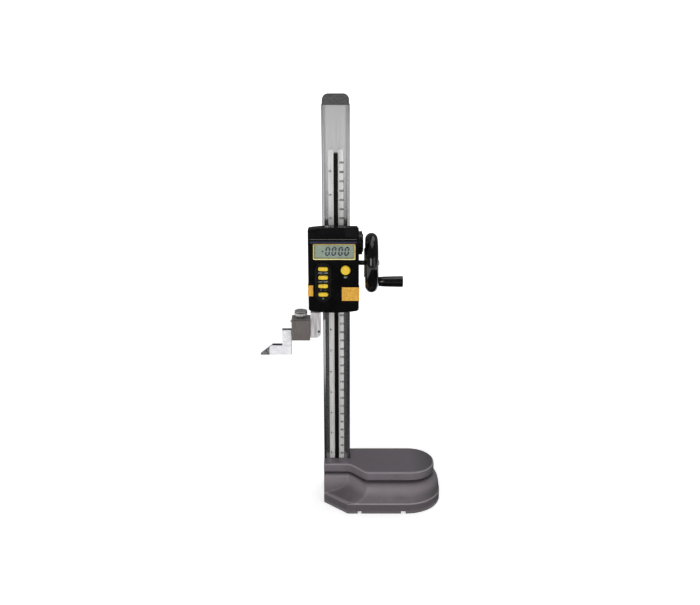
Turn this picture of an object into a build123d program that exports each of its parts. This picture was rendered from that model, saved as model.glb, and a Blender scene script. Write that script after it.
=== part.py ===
from build123d import *
from math import acos, atan2, ceil, cos, floor, hypot, pi, radians, sin, sqrt, tan
import os

# Digital height gauge with a rack-and-pinion hand wheel.
# Millimetres. X runs right along the base, Y runs back, Z runs up.
# The origin is on the surface plate, under the middle of the column's front face.

# ---- fits ----------------------------------------------------------------------------
running_gap = 0.05      # radial gap of a shaft or screw in its hole
slide_gap = 0.06        # gap between flat faces that slide
seat_gap = 0.10         # gap round a piece that sits in a recess
free_gap = 0.60         # gap between pieces that pass each other

# ---- base ----------------------------------------------------------------------------
base_height = 48.0
base_right = 112.4          # right end of the top plate
base_back = 26.6            # back edge of the top plate
base_front = -35.6          # front edge of the wide part of the top plate
neck_front = -15.2          # front edge of the narrow part, in front of the column
neck_end = 12.0             # where the S-shaped front edge leaves the narrow part
wide_start = 36.0           # where it reaches the wide part
curve_ease = 0.28           # share of the S-curve's length taken by each soft end
plate_corner = 29.0
foot_height = 12.0
foot_overhang = 7.7         # how far the foot stands out past the plate, at the right
foot_overhang_side = 7.9    # the same at the front and the back
foot_overhang_neck = 3.3    # the same at its left end
foot_neck_end = -14.2       # where its cut corner starts
foot_wide_start = 12.5      # where its cut corner ends
foot_corner_front = 41.0
foot_corner_back = 34.0
foot_ledge = 0.7            # step between the foot and the swell above it
foot_edge = 0.6             # bevel on the foot's upper edge
groove_depth = 2.6          # how far the finger groove is let in under the plate's lip
lip_thickness = 10.5
groove_height = 3.0
lip_round = 2.6
swell_sections = 6
swell_corner = 9.0          # how far the swell rounds the foot's cut corner
swell_flow = 3              # how soon the foot's straight corner turns into the S-curve
channel_places = ((26.0, 4.2), (76.0, 5.3))     # middle and width of the relief channels
channel_height = 3.0
relief_depth = 1.0
relief_margin = 7.0
socket_floor = 12.0         # the column's foot stands on this

# ---- column --------------------------------------------------------------------------
column_width = 30.0
column_depth = 12.0
column_top = 454.4
column_bevel = 2.6          # front edges
column_back_bevel = 0.8
cap_height = 10.8
cap_inset = 0.7
cap_round = 6.5
cap_plug = 5.0
cap_plug_wall = 6.0
column_screw_x = 8.0
column_screw_thread = 5.0
column_screw_head = 8.5
column_screw_head_height = 5.0
column_screw_grip = 12.0    # length of thread in the column
column_screw_sink = 0.8     # head below the ground underside

# ---- scales and rack -----------------------------------------------------------------
scale_width = 16.4          # recess for the two scale strips
scale_depth = 0.8
scale_margin = 2.45         # recess above the slot
scale_lift = 0.3            # bottom of the strips above the base
slot_width = 4.8
slot_sink = 7.0             # the slot starts this far below the base's top
rack_side_gap = 0.1
rack_back = 5.8             # depth of the slot's floor
rack_tip = 0.35             # tooth tips below the column's face
module = 0.8
pinion_teeth = 14
pressure = radians(20)
rack_addendum = 0.6
pinion_addendum = 0.7
root_clearance = 0.2
backlash = 0.10
pinion_width = 4.0

# ---- measuring range -----------------------------------------------------------------
measuring_range = 300.0
slider_z = 240.0            # bottom of the slider's frame as the gauge stands

# ---- slider frame --------------------------------------------------------------------
frame_left = -22.0
frame_right = 21.0
frame_front = -14.4
frame_back_wall = 5.44      # behind the gib
frame_height = 76.0
frame_round = 2.5
gib_thickness = 2.0
gib_end = 4.0
gib_screw_thread = 4.0
gib_screw_proud = 1.2
gib_screw_pitch = 40.0
lock_drop = 10.0            # axis of the lock screw below the frame's top
lock_thread = 6.0
lock_pad_length = 1.4
lock_knob_diameter = 25.6
lock_knob_thickness = 6.8
lock_face_diameter = 19.4
lock_face_thickness = 1.1
lock_flutes = 18
lock_flute_radius = 1.1
reader_rise = 20.0          # middle of the reader board above the frame's bottom
reader_width = 26.0
reader_height = 26.0
board_thickness = 1.2
reader_air = 0.5            # gap between reader board and scales

# ---- drive ---------------------------------------------------------------------------
shaft_rise = 46.6           # shaft above the frame's bottom
shaft_diameter = 5.2
shaft_left = -14.0
collar_wall = 1.2
collar_width = 2.0
bush_diameter = 8.0
bush_flange = 10.5
bush_flange_thickness = 1.4
bush_length = 6.0
pinion_room = 0.8           # gap round the pinion in its cavity
wheel_diameter = 65.0
wheel_gap = 0.7             # between the lock knob and the wheel's boss
wheel_width = 14.2
wheel_web = 6.0
wheel_boss_diameter = 32.6  # shallow boss on the side of the head
wheel_boss_height = 1.0
wheel_hub_diameter = 17.0   # boss on the outer side
hub_screw_head = 5.6
hub_screw_height = 2.2
hub_screw_thread = 3.0
hub_screw_grip = 8.0
crank_radius = 21.4
crank_boss = 11.0
crank_pin_diameter = 5.0
crank_pin_stem = 4.0
crank_pin_collar = 7.6
crank_collar_thickness = 0.9
crank_pin_head = 7.0
crank_head_height = 1.6
handle_gap = 0.35
handle_length = 26.8
handle_thin = 10.0
handle_thick = 12.0
handle_round = 0.8

# ---- display head --------------------------------------------------------------------
head_margin_left = 5.5      # from the display to the head's side
head_margin_right = 3.7
head_front = -25.0
head_drop = 1.8             # head's lower corners below the frame
head_foot = 18.95           # last key's middle above the head's lower corners
head_bow_bottom = 2.3       # how far the bottom bows out below the corners
head_bow_top = 1.9
head_round_top = 2.0
head_round_bottom = 3.2
head_edge = 0.9
shell_wall = 2.0
front_wall = 2.2
cover_thickness = 2.0
post_diameter = 5.0
post_inset = 3.6
post_lift = 0.6             # the middle post stands higher, under the bowed top
cover_screw_thread = 2.0
cover_screw_head = 3.8
cover_screw_length = 6.0
display_x = -1.6
display_drop = 15.8         # display below the head's upper corners
display_width = 45.0
display_height = 17.4
display_rim = 1.15          # visible width of the gilt frame
display_rim_depth = 1.4
display_rim_proud = 0.25
display_lip = 0.35          # step that the window rests on
window_thickness = 1.0
lcd_thickness = 1.8
lcd_margin = 1.3
holder_thickness = 0.8
holder_wall = 2.0
board_margin = 1.0
board_rise = 4.8            # circuit board above the head's lower corners
board_gap = 2.7             # between circuit board and cell holder
board_post_inset = 3.0      # posts of the circuit board from its edges
board_post_rise = 2.0       # upper posts above the middle between display and keys
main_board_thickness = 1.6
board_screw_head = 3.6
board_screw_head_height = 1.2
board_screw_room = 0.8      # from the screws' ends to the front wall
head_screw_thread = 3.0
head_screw_head = 5.2
head_screw_height = 1.5
head_screw_length = 9.0
head_screw_x = (-16.0, 14.0)
head_screw_rises = (10.0, 68.0)         # above the frame's bottom
surround_gap = 2.0          # between the keys' surround and the left grip
key_drop = 10.0             # first key's middle below the display
key_pitch = 9.45
key_count = 4
key_width = 10.2
key_height = 4.3
key_gap = 0.2
key_flange = 0.9            # flange that keeps a key in the shell
key_flange_thickness = 0.8
key_travel = 0.6
key_proud = 1.3
round_key_inset = 14.2      # its middle from the head's right side
round_key_drop = 11.4       # its middle below the display
round_key_diameter = 10.2
round_key_proud = 1.8
surround_width = 17.6
surround_margin = 7.6       # above and below the middles of the end keys
surround_lower = 1.0        # the surround sits this far below the keys' middle
surround_thickness = 0.5
surround_sink = 0.5
switch_size = 3.4
switch_air = 0.1
grip_proud = 0.5
grip_sink = 0.9
grip_depth = 8.0            # how far a grip reaches round the side
left_grip_width = 5.2
left_grip_rise = 16.9       # above the head's lower corners
left_grip_height = 12.0
right_grip_width = 18.2
right_grip_rise = 11.7
right_grip_height = 15.0
grip_ribs = 5
grip_rib_sink = 0.35
cell_diameter = 11.6
cell_thickness = 5.4
cell_drop = 8.7             # middle of the cell below the head's upper corners
cell_gap = 0.2
cell_holder_wall = 0.5
cell_holder_height = 5.0
door_edge = 1.6             # between the door and the head's right side
door_width = 12.8
door_drop = 8.1             # door's lower edge below the head's upper corners
door_thickness = 1.1
door_proud = 0.5
door_top_thickness = 1.5
door_ribs = 5
door_rib_width = 0.8
door_rib_height = 0.4

# ---- measuring arm -------------------------------------------------------------------
arm_width = 10.9
arm_depth = 10.0
arm_height = 28.9
arm_front = -22.0
arm_chamfer = 3.4
arm_head_gap = 0.8
cheek_thickness = 5.8
cheek_drop = 24.0           # cheek's lower end below the frame
cheek_rise = 60.0           # its upper end above the frame's bottom
cheek_back = 4.0
arm_screw_thread = 4.0
arm_screw_head = 7.6
arm_screw_length = 10.0
arm_screw_y = -6.0
arm_screw_rises = (16.0, 36.0)          # above the frame's bottom
bar_width = 6.0             # the bar that carries the scriber, front to back
bar_height = 6.5
bar_short = 0.5             # the bar ends this far inside the clamp
stop_screw_diameter = 2.6
stop_screw_rise = 7.2       # above the arm's bottom
stop_screw_inset = 1.9      # from its right side
stop_screw_proud = 0.5
stop_screw_length = 4.0

# ---- scriber and its clamp -----------------------------------------------------------
clamp_gap = 0.6             # between clamp and arm
clamp_width = 20.1
clamp_depth = 17.0
clamp_height = 23.7
clamp_drop = 1.9            # clamp's bottom below the arm's
clamp_floor = 3.4           # metal under the scriber's shank
clamp_edge = 0.6
clamp_pin_diameter = 2.2
clamp_pin_length = 4.0
clamp_pin_proud = 1.2
clamp_pin_drop = 2.0
clamp_pin_wall = 2.0        # between a pin and the clamp's slot
pad_thickness = 1.9
shank_height = 6.8
shank_short = 2.1           # the shank ends this far inside the clamp
riser_width = 10.2
scriber_drop = 22.2         # scribing edge below the shank
foot_thickness = 11.1
foot_length = 24.2          # from the riser to the scribing edge
tip_length = 9.9
tip_edge = 0.35             # height of the tip's flat scribing edge
nose_length = 13.2          # of the sloping top
thumb_thread = 5.0
thumb_neck = 8.0
thumb_neck_height = 3.2
thumb_head = 14.0
thumb_head_height = 4.6
thumb_flutes = 24
thumb_flute_radius = 0.45

# ---- sizes that follow from the ones above -------------------------------------------
lip_bottom = base_height - lip_thickness
groove_bottom = lip_bottom - groove_height
foot_neck_front = neck_front - foot_overhang_neck
frame_bottom = slider_z
frame_top = frame_bottom + frame_height
frame_inner_back = column_depth + slide_gap + gib_thickness
frame_back = frame_inner_back + frame_back_wall
shaft_z = frame_bottom + shaft_rise
lock_z = frame_top - lock_drop
reader_z = frame_bottom + reader_rise
head_left = display_x - display_width / 2 - head_margin_left
head_right = display_x + display_width / 2 + head_margin_right
head_bottom_corner = frame_bottom - head_drop
head_bottom = head_bottom_corner - head_bow_bottom
key_bottom_z = head_bottom_corner + head_foot
key_top_z = key_bottom_z + (key_count - 1) * key_pitch
display_bottom = key_top_z + key_drop
display_z = display_bottom + display_height / 2
head_top_corner = display_bottom + display_height + display_drop
head_top = head_top_corner + head_bow_top
arm_top = head_bottom - arm_head_gap
arm_bottom = arm_top - arm_height
arm_left = frame_left - cheek_thickness
arm_right = arm_left + arm_width
arm_back = arm_front + arm_depth
clamp_right = arm_left - clamp_gap
clamp_left = clamp_right - clamp_width
clamp_bottom = arm_bottom - clamp_drop
clamp_top = clamp_bottom + clamp_height
shank_bottom = clamp_bottom + clamp_floor
tip_z = shank_bottom - scriber_drop
pitch_radius = module * pinion_teeth / 2
pitch_line = rack_tip + rack_addendum
shaft_y = pitch_line - pitch_radius
rack_pitch = pi * module
pinion_tip = pitch_radius + pinion_addendum
pinion_root = pitch_radius - rack_addendum - root_clearance
travel_up = measuring_range - tip_z
slot_reach = sqrt(pinion_tip**2 - shaft_y**2)
slot_bottom = base_height - slot_sink
slot_top = shaft_z + travel_up + slot_reach + free_gap
scale_top = slot_top + scale_margin
column_mid = column_depth / 2
column_left = -column_width / 2
socket_right = column_width / 2
shaft_r = shaft_diameter / 2
left_seat = (shaft_left + 2 * collar_width, shaft_left + 2 * collar_width + bush_length)
lock_knob_start = frame_right + free_gap
lock_knob_end = lock_knob_start + lock_knob_thickness
lock_face_end = lock_knob_end + lock_face_thickness
wheel_boss_left = lock_face_end + wheel_gap
wheel_left = wheel_boss_left + wheel_boss_height
wheel_right = wheel_left + wheel_width
wheel_mid = wheel_left + wheel_width / 2
rim_r = wheel_width / 2
rim_centre_r = wheel_diameter / 2 - rim_r
crank_z = shaft_z - crank_radius
crank_face = wheel_right - free_gap
head_back = frame_front
shell_back = head_back - cover_thickness
wall_back = head_front + front_wall
head_mid = (head_left + head_right) / 2
lcd_back = wall_back + lcd_thickness
board_front = lcd_back + holder_thickness
board_back = board_front + main_board_thickness
scriber_mid = (arm_front + arm_back) / 2
clamp_mid = (clamp_left + clamp_right) / 2
shank_top = shank_bottom + shank_height
bar_top = shank_top + bar_height
pad_top = bar_top + pad_thickness
clamp_slot_top = pad_top + seat_gap
bar_end = clamp_left + bar_short
shank_end = clamp_right - shank_short
riser_right = clamp_left - free_gap
riser_left = riser_right - riser_width
tip_end = riser_left - foot_length
foot_top = tip_z + foot_thickness
nose_top = tip_end + nose_length
stop_screw_x = arm_right - stop_screw_inset
stop_screw_z = arm_bottom + stop_screw_rise
round_key_x = head_right - round_key_inset
round_key_z = display_bottom - round_key_drop
head_screw_places = [(x, frame_bottom + rise) for rise in head_screw_rises for x in head_screw_x]
arm_screw_z = [frame_bottom + rise for rise in arm_screw_rises]
left_grip_edge = head_left + left_grip_width
right_grip_edge = head_right - right_grip_width
left_grip_z = (head_bottom_corner + left_grip_rise,
               head_bottom_corner + left_grip_rise + left_grip_height)
right_grip_z = (head_bottom_corner + right_grip_rise,
                head_bottom_corner + right_grip_rise + right_grip_height)
key_x = left_grip_edge + surround_gap + surround_width / 2
cell_x = head_right - shell_wall - seat_gap - cell_holder_wall - cell_diameter / 2
cell_z = head_top_corner - cell_drop
door_mid = head_right - door_edge - door_width / 2
door_bottom = head_top_corner - door_drop
board_bottom = head_bottom_corner + board_rise
board_top = cell_z - cell_diameter / 2 - cell_holder_wall - board_gap

os.makedirs("parts", exist_ok=True)


# ---- helpers -------------------------------------------------------------------------
def save(part, name):
    part.label = name
    export_step(part, f"parts/{name}.step")


def block(x, y, z, mode=Mode.ADD):
    """A rectangular block between two limits on each axis."""
    with Locations(((x[0] + x[1]) / 2, (y[0] + y[1]) / 2, (z[0] + z[1]) / 2)):
        Box(x[1] - x[0], y[1] - y[0], z[1] - z[0], mode=mode)


def rod_x(x, y, z, radius, mode=Mode.ADD):
    """A round rod along X, from x[0] to x[1]."""
    with BuildSketch(Plane.YZ.offset(x[0])) as disc:
        with Locations((y, z)):
            Circle(radius)
    extrude(disc.sketch, amount=x[1] - x[0], mode=mode)


def rod_y(x, y, z, radius, mode=Mode.ADD):
    """A round rod along Y, from y[0] to y[1]."""
    with BuildSketch(Plane.XZ.offset(-y[0])) as disc:
        with Locations((x, z)):
            Circle(radius)
    extrude(disc.sketch, amount=y[0] - y[1], mode=mode)


def rod_z(x, y, z, radius, mode=Mode.ADD):
    """A round rod along Z, from z[0] to z[1]."""
    with BuildSketch(Plane.XY.offset(z[0])) as disc:
        with Locations((x, y)):
            Circle(radius)
    extrude(disc.sketch, amount=z[1] - z[0], mode=mode)


def front_plane(y):
    """The upright plane at y, drawn on with X to the right and Z up."""
    return Plane.XZ.offset(-y)


# ---- base ----------------------------------------------------------------------------
ease = (wide_start - neck_end) * curve_ease
plate_shape = dict(right=base_right, back=base_back, front=base_front, neck=neck_front,
                   neck_end=neck_end, wide=wide_start, corner=plate_corner, back_corner=plate_corner,
                   ease=ease, slant=0.0, end_ease=ease, end_slant=0.0)
foot_front = base_front - foot_overhang_side
foot_cut = foot_wide_start - foot_neck_end
foot_shape = dict(right=base_right + foot_overhang, back=base_back + foot_overhang_side,
                  front=foot_front, neck=foot_neck_front, neck_end=foot_neck_end,
                  wide=foot_wide_start, corner=foot_corner_front, back_corner=foot_corner_back,
                  ease=foot_cut / 3, slant=(foot_front - foot_neck_front) / 3,
                  end_ease=foot_cut / 3, end_slant=(foot_front - foot_neck_front) / 3)
flowing = ("neck_end", "wide", "ease", "end_ease")


def shrink(shape, amount):
    """The same outline let in by an amount, except at its flat left end."""
    return dict(shape, right=shape["right"] - amount, back=shape["back"] - amount,
                front=shape["front"] + amount, neck=shape["neck"] + amount,
                corner=shape["corner"] - amount, back_corner=shape["back_corner"] - amount)


def between(first, last, rise, spread):
    """An outline between two others; the S-curve is further on than the rest, its slant most of all."""
    shares = dict.fromkeys(first, spread)
    shares.update(dict.fromkeys(flowing, 1 - (1 - rise)**swell_flow))
    shares["slant"] = 1 - (1 - rise)**(3 * swell_flow)
    return {key: first[key] + (last[key] - first[key]) * shares[key] for key in first}


def outline(shape, z):
    """The base seen from above: flat left end, narrow neck, S-curve, round right end."""
    right, front, back = shape["right"], shape["front"], shape["back"]
    corner, back_corner = shape["corner"], shape["back_corner"]
    start = (shape["neck_end"], shape["neck"])
    end = (shape["wide"], front)
    with BuildSketch(Plane.XY.offset(z)) as face:
        with BuildLine():
            Line((column_left, back), (column_left, shape["neck"]))
            Line((column_left, shape["neck"]), start)
            Bezier(start, (start[0] + shape["ease"], start[1] + shape["slant"]),
                   (end[0] - shape["end_ease"], end[1] - shape["end_slant"]), end)
            Line(end, (right - corner, front))
            RadiusArc((right - corner, front), (right, front + corner), -corner)
            Line((right, front + corner), (right, back - back_corner))
            RadiusArc((right, back - back_corner), (right - back_corner, back), -back_corner)
            Line((right - back_corner, back), (column_left, back))
        make_face()
    return face.sketch


with BuildPart() as foot:
    extrude(outline(foot_shape, 0), amount=foot_height)
    chamfer(foot.edges().group_by(Axis.Z)[-1].sort_by(Axis.X)[1:], foot_edge)

with BuildPart() as lip:
    extrude(outline(plate_shape, lip_bottom), amount=base_height - lip_bottom)
    lip_edges = lip.edges().group_by(Axis.Z)[0] + lip.edges().group_by(Axis.Z)[-1]
    fillet([edge for edge in lip_edges if edge.center().X > column_left + 0.01], lip_round)

with BuildPart() as base:
    add(foot.part)
    groove_shape = shrink(plate_shape, groove_depth)
    # the swell starts with a rounded corner, and its upright section is a quarter of an ellipse
    swell_shape = shrink(foot_shape, foot_ledge)
    swell_shape.update(wide=foot_wide_start + swell_corner, end_ease=swell_corner, end_slant=0.0)
    swell_faces = []
    for step in range(swell_sections):
        turn = pi / 2 * step / (swell_sections - 1)
        shape = between(swell_shape, groove_shape, sin(turn), 1 - cos(turn))
        swell_faces.append(outline(shape, foot_height + (groove_bottom - foot_height) * sin(turn)))
    loft(swell_faces)
    extrude(outline(groove_shape, groove_bottom), amount=lip_bottom + lip_round - groove_bottom)
    add(lip.part)
    # socket for the column, open at the left end
    block((column_left, socket_right), (0, column_depth), (socket_floor, base_height), Mode.SUBTRACT)
    # relief channels and shallow relief between them, so that the base stands on three lands
    depth_span = (foot_shape["front"], foot_shape["back"])
    for middle, width in channel_places:
        block((middle - width / 2, middle + width / 2), depth_span, (0, channel_height), Mode.SUBTRACT)
    relief_x = (channel_places[0][0] + relief_margin, channel_places[1][0] - relief_margin)
    relief_y = (base_front + relief_margin, base_back - relief_margin)
    block(relief_x, relief_y, (0, relief_depth), Mode.SUBTRACT)
    for x in (-column_screw_x, column_screw_x):
        rod_z(x, column_mid, (0, column_screw_sink + column_screw_head_height),
              column_screw_head / 2 + seat_gap, Mode.SUBTRACT)
        rod_z(x, column_mid, (0, socket_floor), column_screw_thread / 2 + running_gap, Mode.SUBTRACT)
save(base.part, "base")

# ---- column --------------------------------------------------------------------------
with BuildPart() as column:
    block((column_left, -column_left), (0, column_depth), (socket_floor, column_top))
    upright = column.edges().filter_by(Axis.Z)
    chamfer(upright.group_by(Axis.Y)[0], column_bevel)
    chamfer(column.edges().filter_by(Axis.Z).group_by(Axis.Y)[-1], column_back_bevel)
    block((-scale_width / 2, scale_width / 2), (0, scale_depth), (base_height, scale_top), Mode.SUBTRACT)
    # milled slot for the rack, with round ends
    with BuildSketch(front_plane(0)):
        with Locations((0, (slot_bottom + slot_top) / 2)):
            SlotOverall(slot_top - slot_bottom, slot_width, rotation=90)
    extrude(amount=-rack_back, mode=Mode.SUBTRACT)
    for x in (-column_screw_x, column_screw_x):
        rod_z(x, column_mid, (socket_floor, socket_floor + column_screw_grip + 1),
              column_screw_thread / 2 + running_gap, Mode.SUBTRACT)
    # socket for the plug of the cap
    block((cap_plug_wall + column_left, -column_left - cap_plug_wall),
          (cap_plug_wall / 2, column_depth - cap_plug_wall / 2),
          (column_top - cap_plug - seat_gap, column_top), Mode.SUBTRACT)
save(column.part, "column")

with BuildPart() as column_cap:
    with BuildSketch(front_plane(cap_inset / 2)) as cap_face:
        with Locations((0, column_top + cap_height / 2)):
            Rectangle(column_width - 2 * cap_inset, cap_height)
        fillet(cap_face.vertices().group_by(Axis.Y)[-1], cap_round)
    extrude(amount=-(column_depth - cap_inset))
    fillet(column_cap.faces().sort_by(Axis.Z)[-1].edges().filter_by(Axis.X), cap_inset)
    block((cap_plug_wall + column_left + seat_gap, -column_left - cap_plug_wall - seat_gap),
          (cap_plug_wall / 2 + seat_gap, column_depth - cap_plug_wall / 2 - seat_gap),
          (column_top - cap_plug, column_top))
save(column_cap.part, "column_cap")


def socket_screw(x, y, bottom, head_r, head_height, thread_r, length):
    """An upright socket-head screw with its head at the bottom."""
    rod_z(x, y, (bottom, bottom + head_height), head_r)
    rod_z(x, y, (bottom + head_height, bottom + head_height + length), thread_r)
    with BuildSketch(Plane.XY.offset(bottom)) as hexagon:
        with Locations((x, y)):
            RegularPolygon(head_r / 2, 6)
    extrude(hexagon.sketch, amount=head_height / 2, mode=Mode.SUBTRACT)


with BuildPart() as column_screws:
    screw_length = socket_floor - column_screw_sink - column_screw_head_height + column_screw_grip
    for x in (-column_screw_x, column_screw_x):
        socket_screw(x, column_mid, column_screw_sink, column_screw_head / 2,
                     column_screw_head_height, column_screw_thread / 2, screw_length)
save(column_screws.part, "column_screws")

# ---- scales --------------------------------------------------------------------------
strip_z = (base_height + scale_lift, scale_top - seat_gap)
strip_reach = scale_width / 2 - seat_gap
with BuildPart() as inch_scale:
    block((-strip_reach, -slot_width / 2), (0, scale_depth), strip_z)
save(inch_scale.part, "inch_scale")

with BuildPart() as mm_scale:
    block((slot_width / 2, strip_reach), (0, scale_depth), strip_z)
save(mm_scale.part, "mm_scale")

# ---- rack ----------------------------------------------------------------------------
rack_width = slot_width - 2 * rack_side_gap
end_round = slot_width / 2
end_room = sqrt(end_round**2 - (rack_width / 2) ** 2) + rack_side_gap
rack_bottom = slot_bottom + end_round - end_room + 3 * rack_side_gap
rack_end = slot_top - end_round + end_room - 3 * rack_side_gap
half_tooth = (rack_pitch - backlash) / 4
slope = tan(pressure)
rack_root = pitch_line + pinion_addendum + root_clearance
# a space between two rack teeth lies level with the shaft, to take a tooth of the pinion
first_tooth = ceil((rack_bottom - shaft_z) / rack_pitch + 0.1)
last_tooth = floor((rack_end - shaft_z) / rack_pitch - 0.9)
rack_outline = [(rack_back, rack_bottom), (rack_root, rack_bottom)]
for number in range(first_tooth, last_tooth + 1):
    middle = shaft_z + (number + 0.5) * rack_pitch
    at_root = half_tooth + (rack_root - pitch_line) * slope
    at_tip = half_tooth - rack_addendum * slope
    rack_outline += [(rack_root, middle - at_root), (rack_tip, middle - at_tip),
                     (rack_tip, middle + at_tip), (rack_root, middle + at_root)]
rack_outline += [(rack_root, rack_end), (rack_back, rack_end)]

with BuildPart() as rack:
    with BuildSketch(Plane.YZ.offset(-rack_width / 2)):
        with BuildLine():
            Polyline(*rack_outline, close=True)
        make_face()
    extrude(amount=rack_width)
save(rack.part, "rack")

# ---- pinion and shaft ----------------------------------------------------------------
base_radius = pitch_radius * cos(pressure)


def half_angle(radius):
    """Half the angle that a pinion tooth spans at a radius, on an involute flank."""
    here = acos(base_radius / radius)
    return half_tooth / pitch_radius + (tan(pressure) - pressure) - (tan(here) - here)


flank_radii = [base_radius + (pinion_tip - base_radius) * share for share in (0, 0.35, 0.7, 1)]
inner = pinion_root - 0.3
flank = [(inner, half_angle(base_radius))] + [(radius, half_angle(radius)) for radius in flank_radii]
tooth = [(r * cos(a), r * sin(a)) for r, a in flank]
tooth += [(r * cos(a), -r * sin(a)) for r, a in reversed(flank)]

with BuildPart() as drive_pinion:
    with BuildSketch(Plane((-pinion_width / 2, shaft_y, shaft_z), x_dir=(0, 1, 0), z_dir=(1, 0, 0))):
        Circle(pinion_root)
        with PolarLocations(0, pinion_teeth):
            Polygon(*tooth, align=None)
        Circle(shaft_r + running_gap / 2, mode=Mode.SUBTRACT)
    extrude(amount=pinion_width)
save(drive_pinion.part, "drive_pinion")

with BuildPart() as drive_shaft:
    rod_x((shaft_left, crank_face - 0.5), shaft_y, shaft_z, shaft_r)
    chamfer(drive_shaft.edges().filter_by(GeomType.CIRCLE), 0.4)
    rod_x((crank_face - 0.5 - hub_screw_grip - 1, crank_face - 0.5), shaft_y, shaft_z,
          hub_screw_thread / 2 + running_gap / 2, Mode.SUBTRACT)
save(drive_shaft.part, "drive_shaft")

with BuildPart() as shaft_collar:
    collar = (left_seat[0] - running_gap - collar_width, left_seat[0] - running_gap)
    rod_x(collar, shaft_y, shaft_z, shaft_r + collar_wall)
    rod_x(collar, shaft_y, shaft_z, shaft_r + running_gap / 2, Mode.SUBTRACT)
save(shaft_collar.part, "shaft_collar")

# ---- hand wheel ----------------------------------------------------------------------
wheel_axis = Axis((0, shaft_y, shaft_z), (1, 0, 0))
wheel_plane = Plane((0, shaft_y, shaft_z), x_dir=(1, 0, 0), z_dir=(0, -1, 0))
web_left = wheel_mid - wheel_web / 2
web_right = wheel_mid + wheel_web / 2
boss_r = wheel_boss_diameter / 2
hub_r = wheel_hub_diameter / 2
with BuildPart() as hand_wheel:
    with BuildSketch(wheel_plane) as wheel_profile:
        with BuildLine():
            Polyline((wheel_boss_left, 0), (wheel_boss_left, boss_r - 1), (wheel_boss_left + 1, boss_r),
                     (web_left, boss_r), (web_left, rim_centre_r), (web_right, rim_centre_r),
                     (web_right, hub_r + 1.5), (crank_face, hub_r), (crank_face, 0), close=True)
        make_face()
        with Locations((wheel_mid, rim_centre_r)):
            Circle(rim_r)
    revolve(axis=wheel_axis)
    rod_x((wheel_mid, crank_face), shaft_y, crank_z, crank_boss / 2)
    rod_x((wheel_boss_left, crank_face), shaft_y, shaft_z, shaft_r + running_gap / 2, Mode.SUBTRACT)
    rod_x((web_left + 1, crank_face), shaft_y, crank_z, crank_pin_stem / 2 + running_gap / 2,
          Mode.SUBTRACT)
save(hand_wheel.part, "hand_wheel")

with BuildPart() as hub_screw:
    screw_top = crank_face + hub_screw_height
    rod_x((crank_face, screw_top), shaft_y, shaft_z, hub_screw_head / 2)
    fillet(hub_screw.faces().sort_by(Axis.X)[-1].edges(), hub_screw_height / 2)
    rod_x((crank_face - 0.5 - hub_screw_grip, crank_face + hub_screw_height / 4), shaft_y, shaft_z,
          hub_screw_thread / 2)
    with BuildSketch(Plane((screw_top, shaft_y, shaft_z), x_dir=(0, 1, 0), z_dir=(1, 0, 0))):
        RegularPolygon(hub_screw_head / 5, 6)
    extrude(amount=-hub_screw_height / 2, mode=Mode.SUBTRACT)
save(hub_screw.part, "hub_screw")

# ---- crank pin and handle ------------------------------------------------------------
crank_axis = Axis((0, shaft_y, crank_z), (1, 0, 0))
crank_plane = Plane((0, shaft_y, crank_z), x_dir=(1, 0, 0), z_dir=(0, -1, 0))
handle_start = crank_face + crank_collar_thickness + handle_gap
handle_end = handle_start + handle_length
pin_head_start = handle_end - crank_head_height - 0.6
with BuildPart() as crank_pin:
    rod_x((web_left + 1, crank_face), shaft_y, crank_z, crank_pin_stem / 2)
    rod_x((crank_face, crank_face + crank_collar_thickness), shaft_y, crank_z, crank_pin_collar / 2)
    rod_x((crank_face, pin_head_start), shaft_y, crank_z, crank_pin_diameter / 2)
    rod_x((pin_head_start, pin_head_start + crank_head_height), shaft_y, crank_z, crank_pin_head / 2)
    with BuildSketch(Plane((pin_head_start + crank_head_height, shaft_y, crank_z), x_dir=(0, 1, 0),
                           z_dir=(1, 0, 0))):
        Rectangle(crank_pin_head, 1.0)
    extrude(amount=-0.7, mode=Mode.SUBTRACT)
save(crank_pin.part, "crank_pin")

with BuildPart() as crank_handle:
    with BuildSketch(crank_plane) as grip_profile:
        with BuildLine():
            waist = (handle_start + handle_length * 0.45, handle_thick / 2 - 0.25)
            Line((handle_start, 0), (handle_start, handle_thin / 2))
            Spline((handle_start, handle_thin / 2), waist, (handle_end, handle_thick / 2),
                   tangents=[(1, 0.13), (1, 0)])
            Line((handle_end, handle_thick / 2), (handle_end, 0))
            Line((handle_end, 0), (handle_start, 0))
        make_face()
        fillet(grip_profile.vertices().group_by(Axis.Y)[-1].sort_by(Axis.X)[-1:], handle_round)
    revolve(axis=crank_axis)
    bore = crank_pin_diameter / 2 + running_gap
    rod_x((handle_start, handle_end), shaft_y, crank_z, bore, Mode.SUBTRACT)
    rod_x((pin_head_start - handle_gap, handle_end), shaft_y, crank_z, crank_pin_head / 2 + handle_gap,
          Mode.SUBTRACT)
save(crank_handle.part, "crank_handle")

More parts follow.
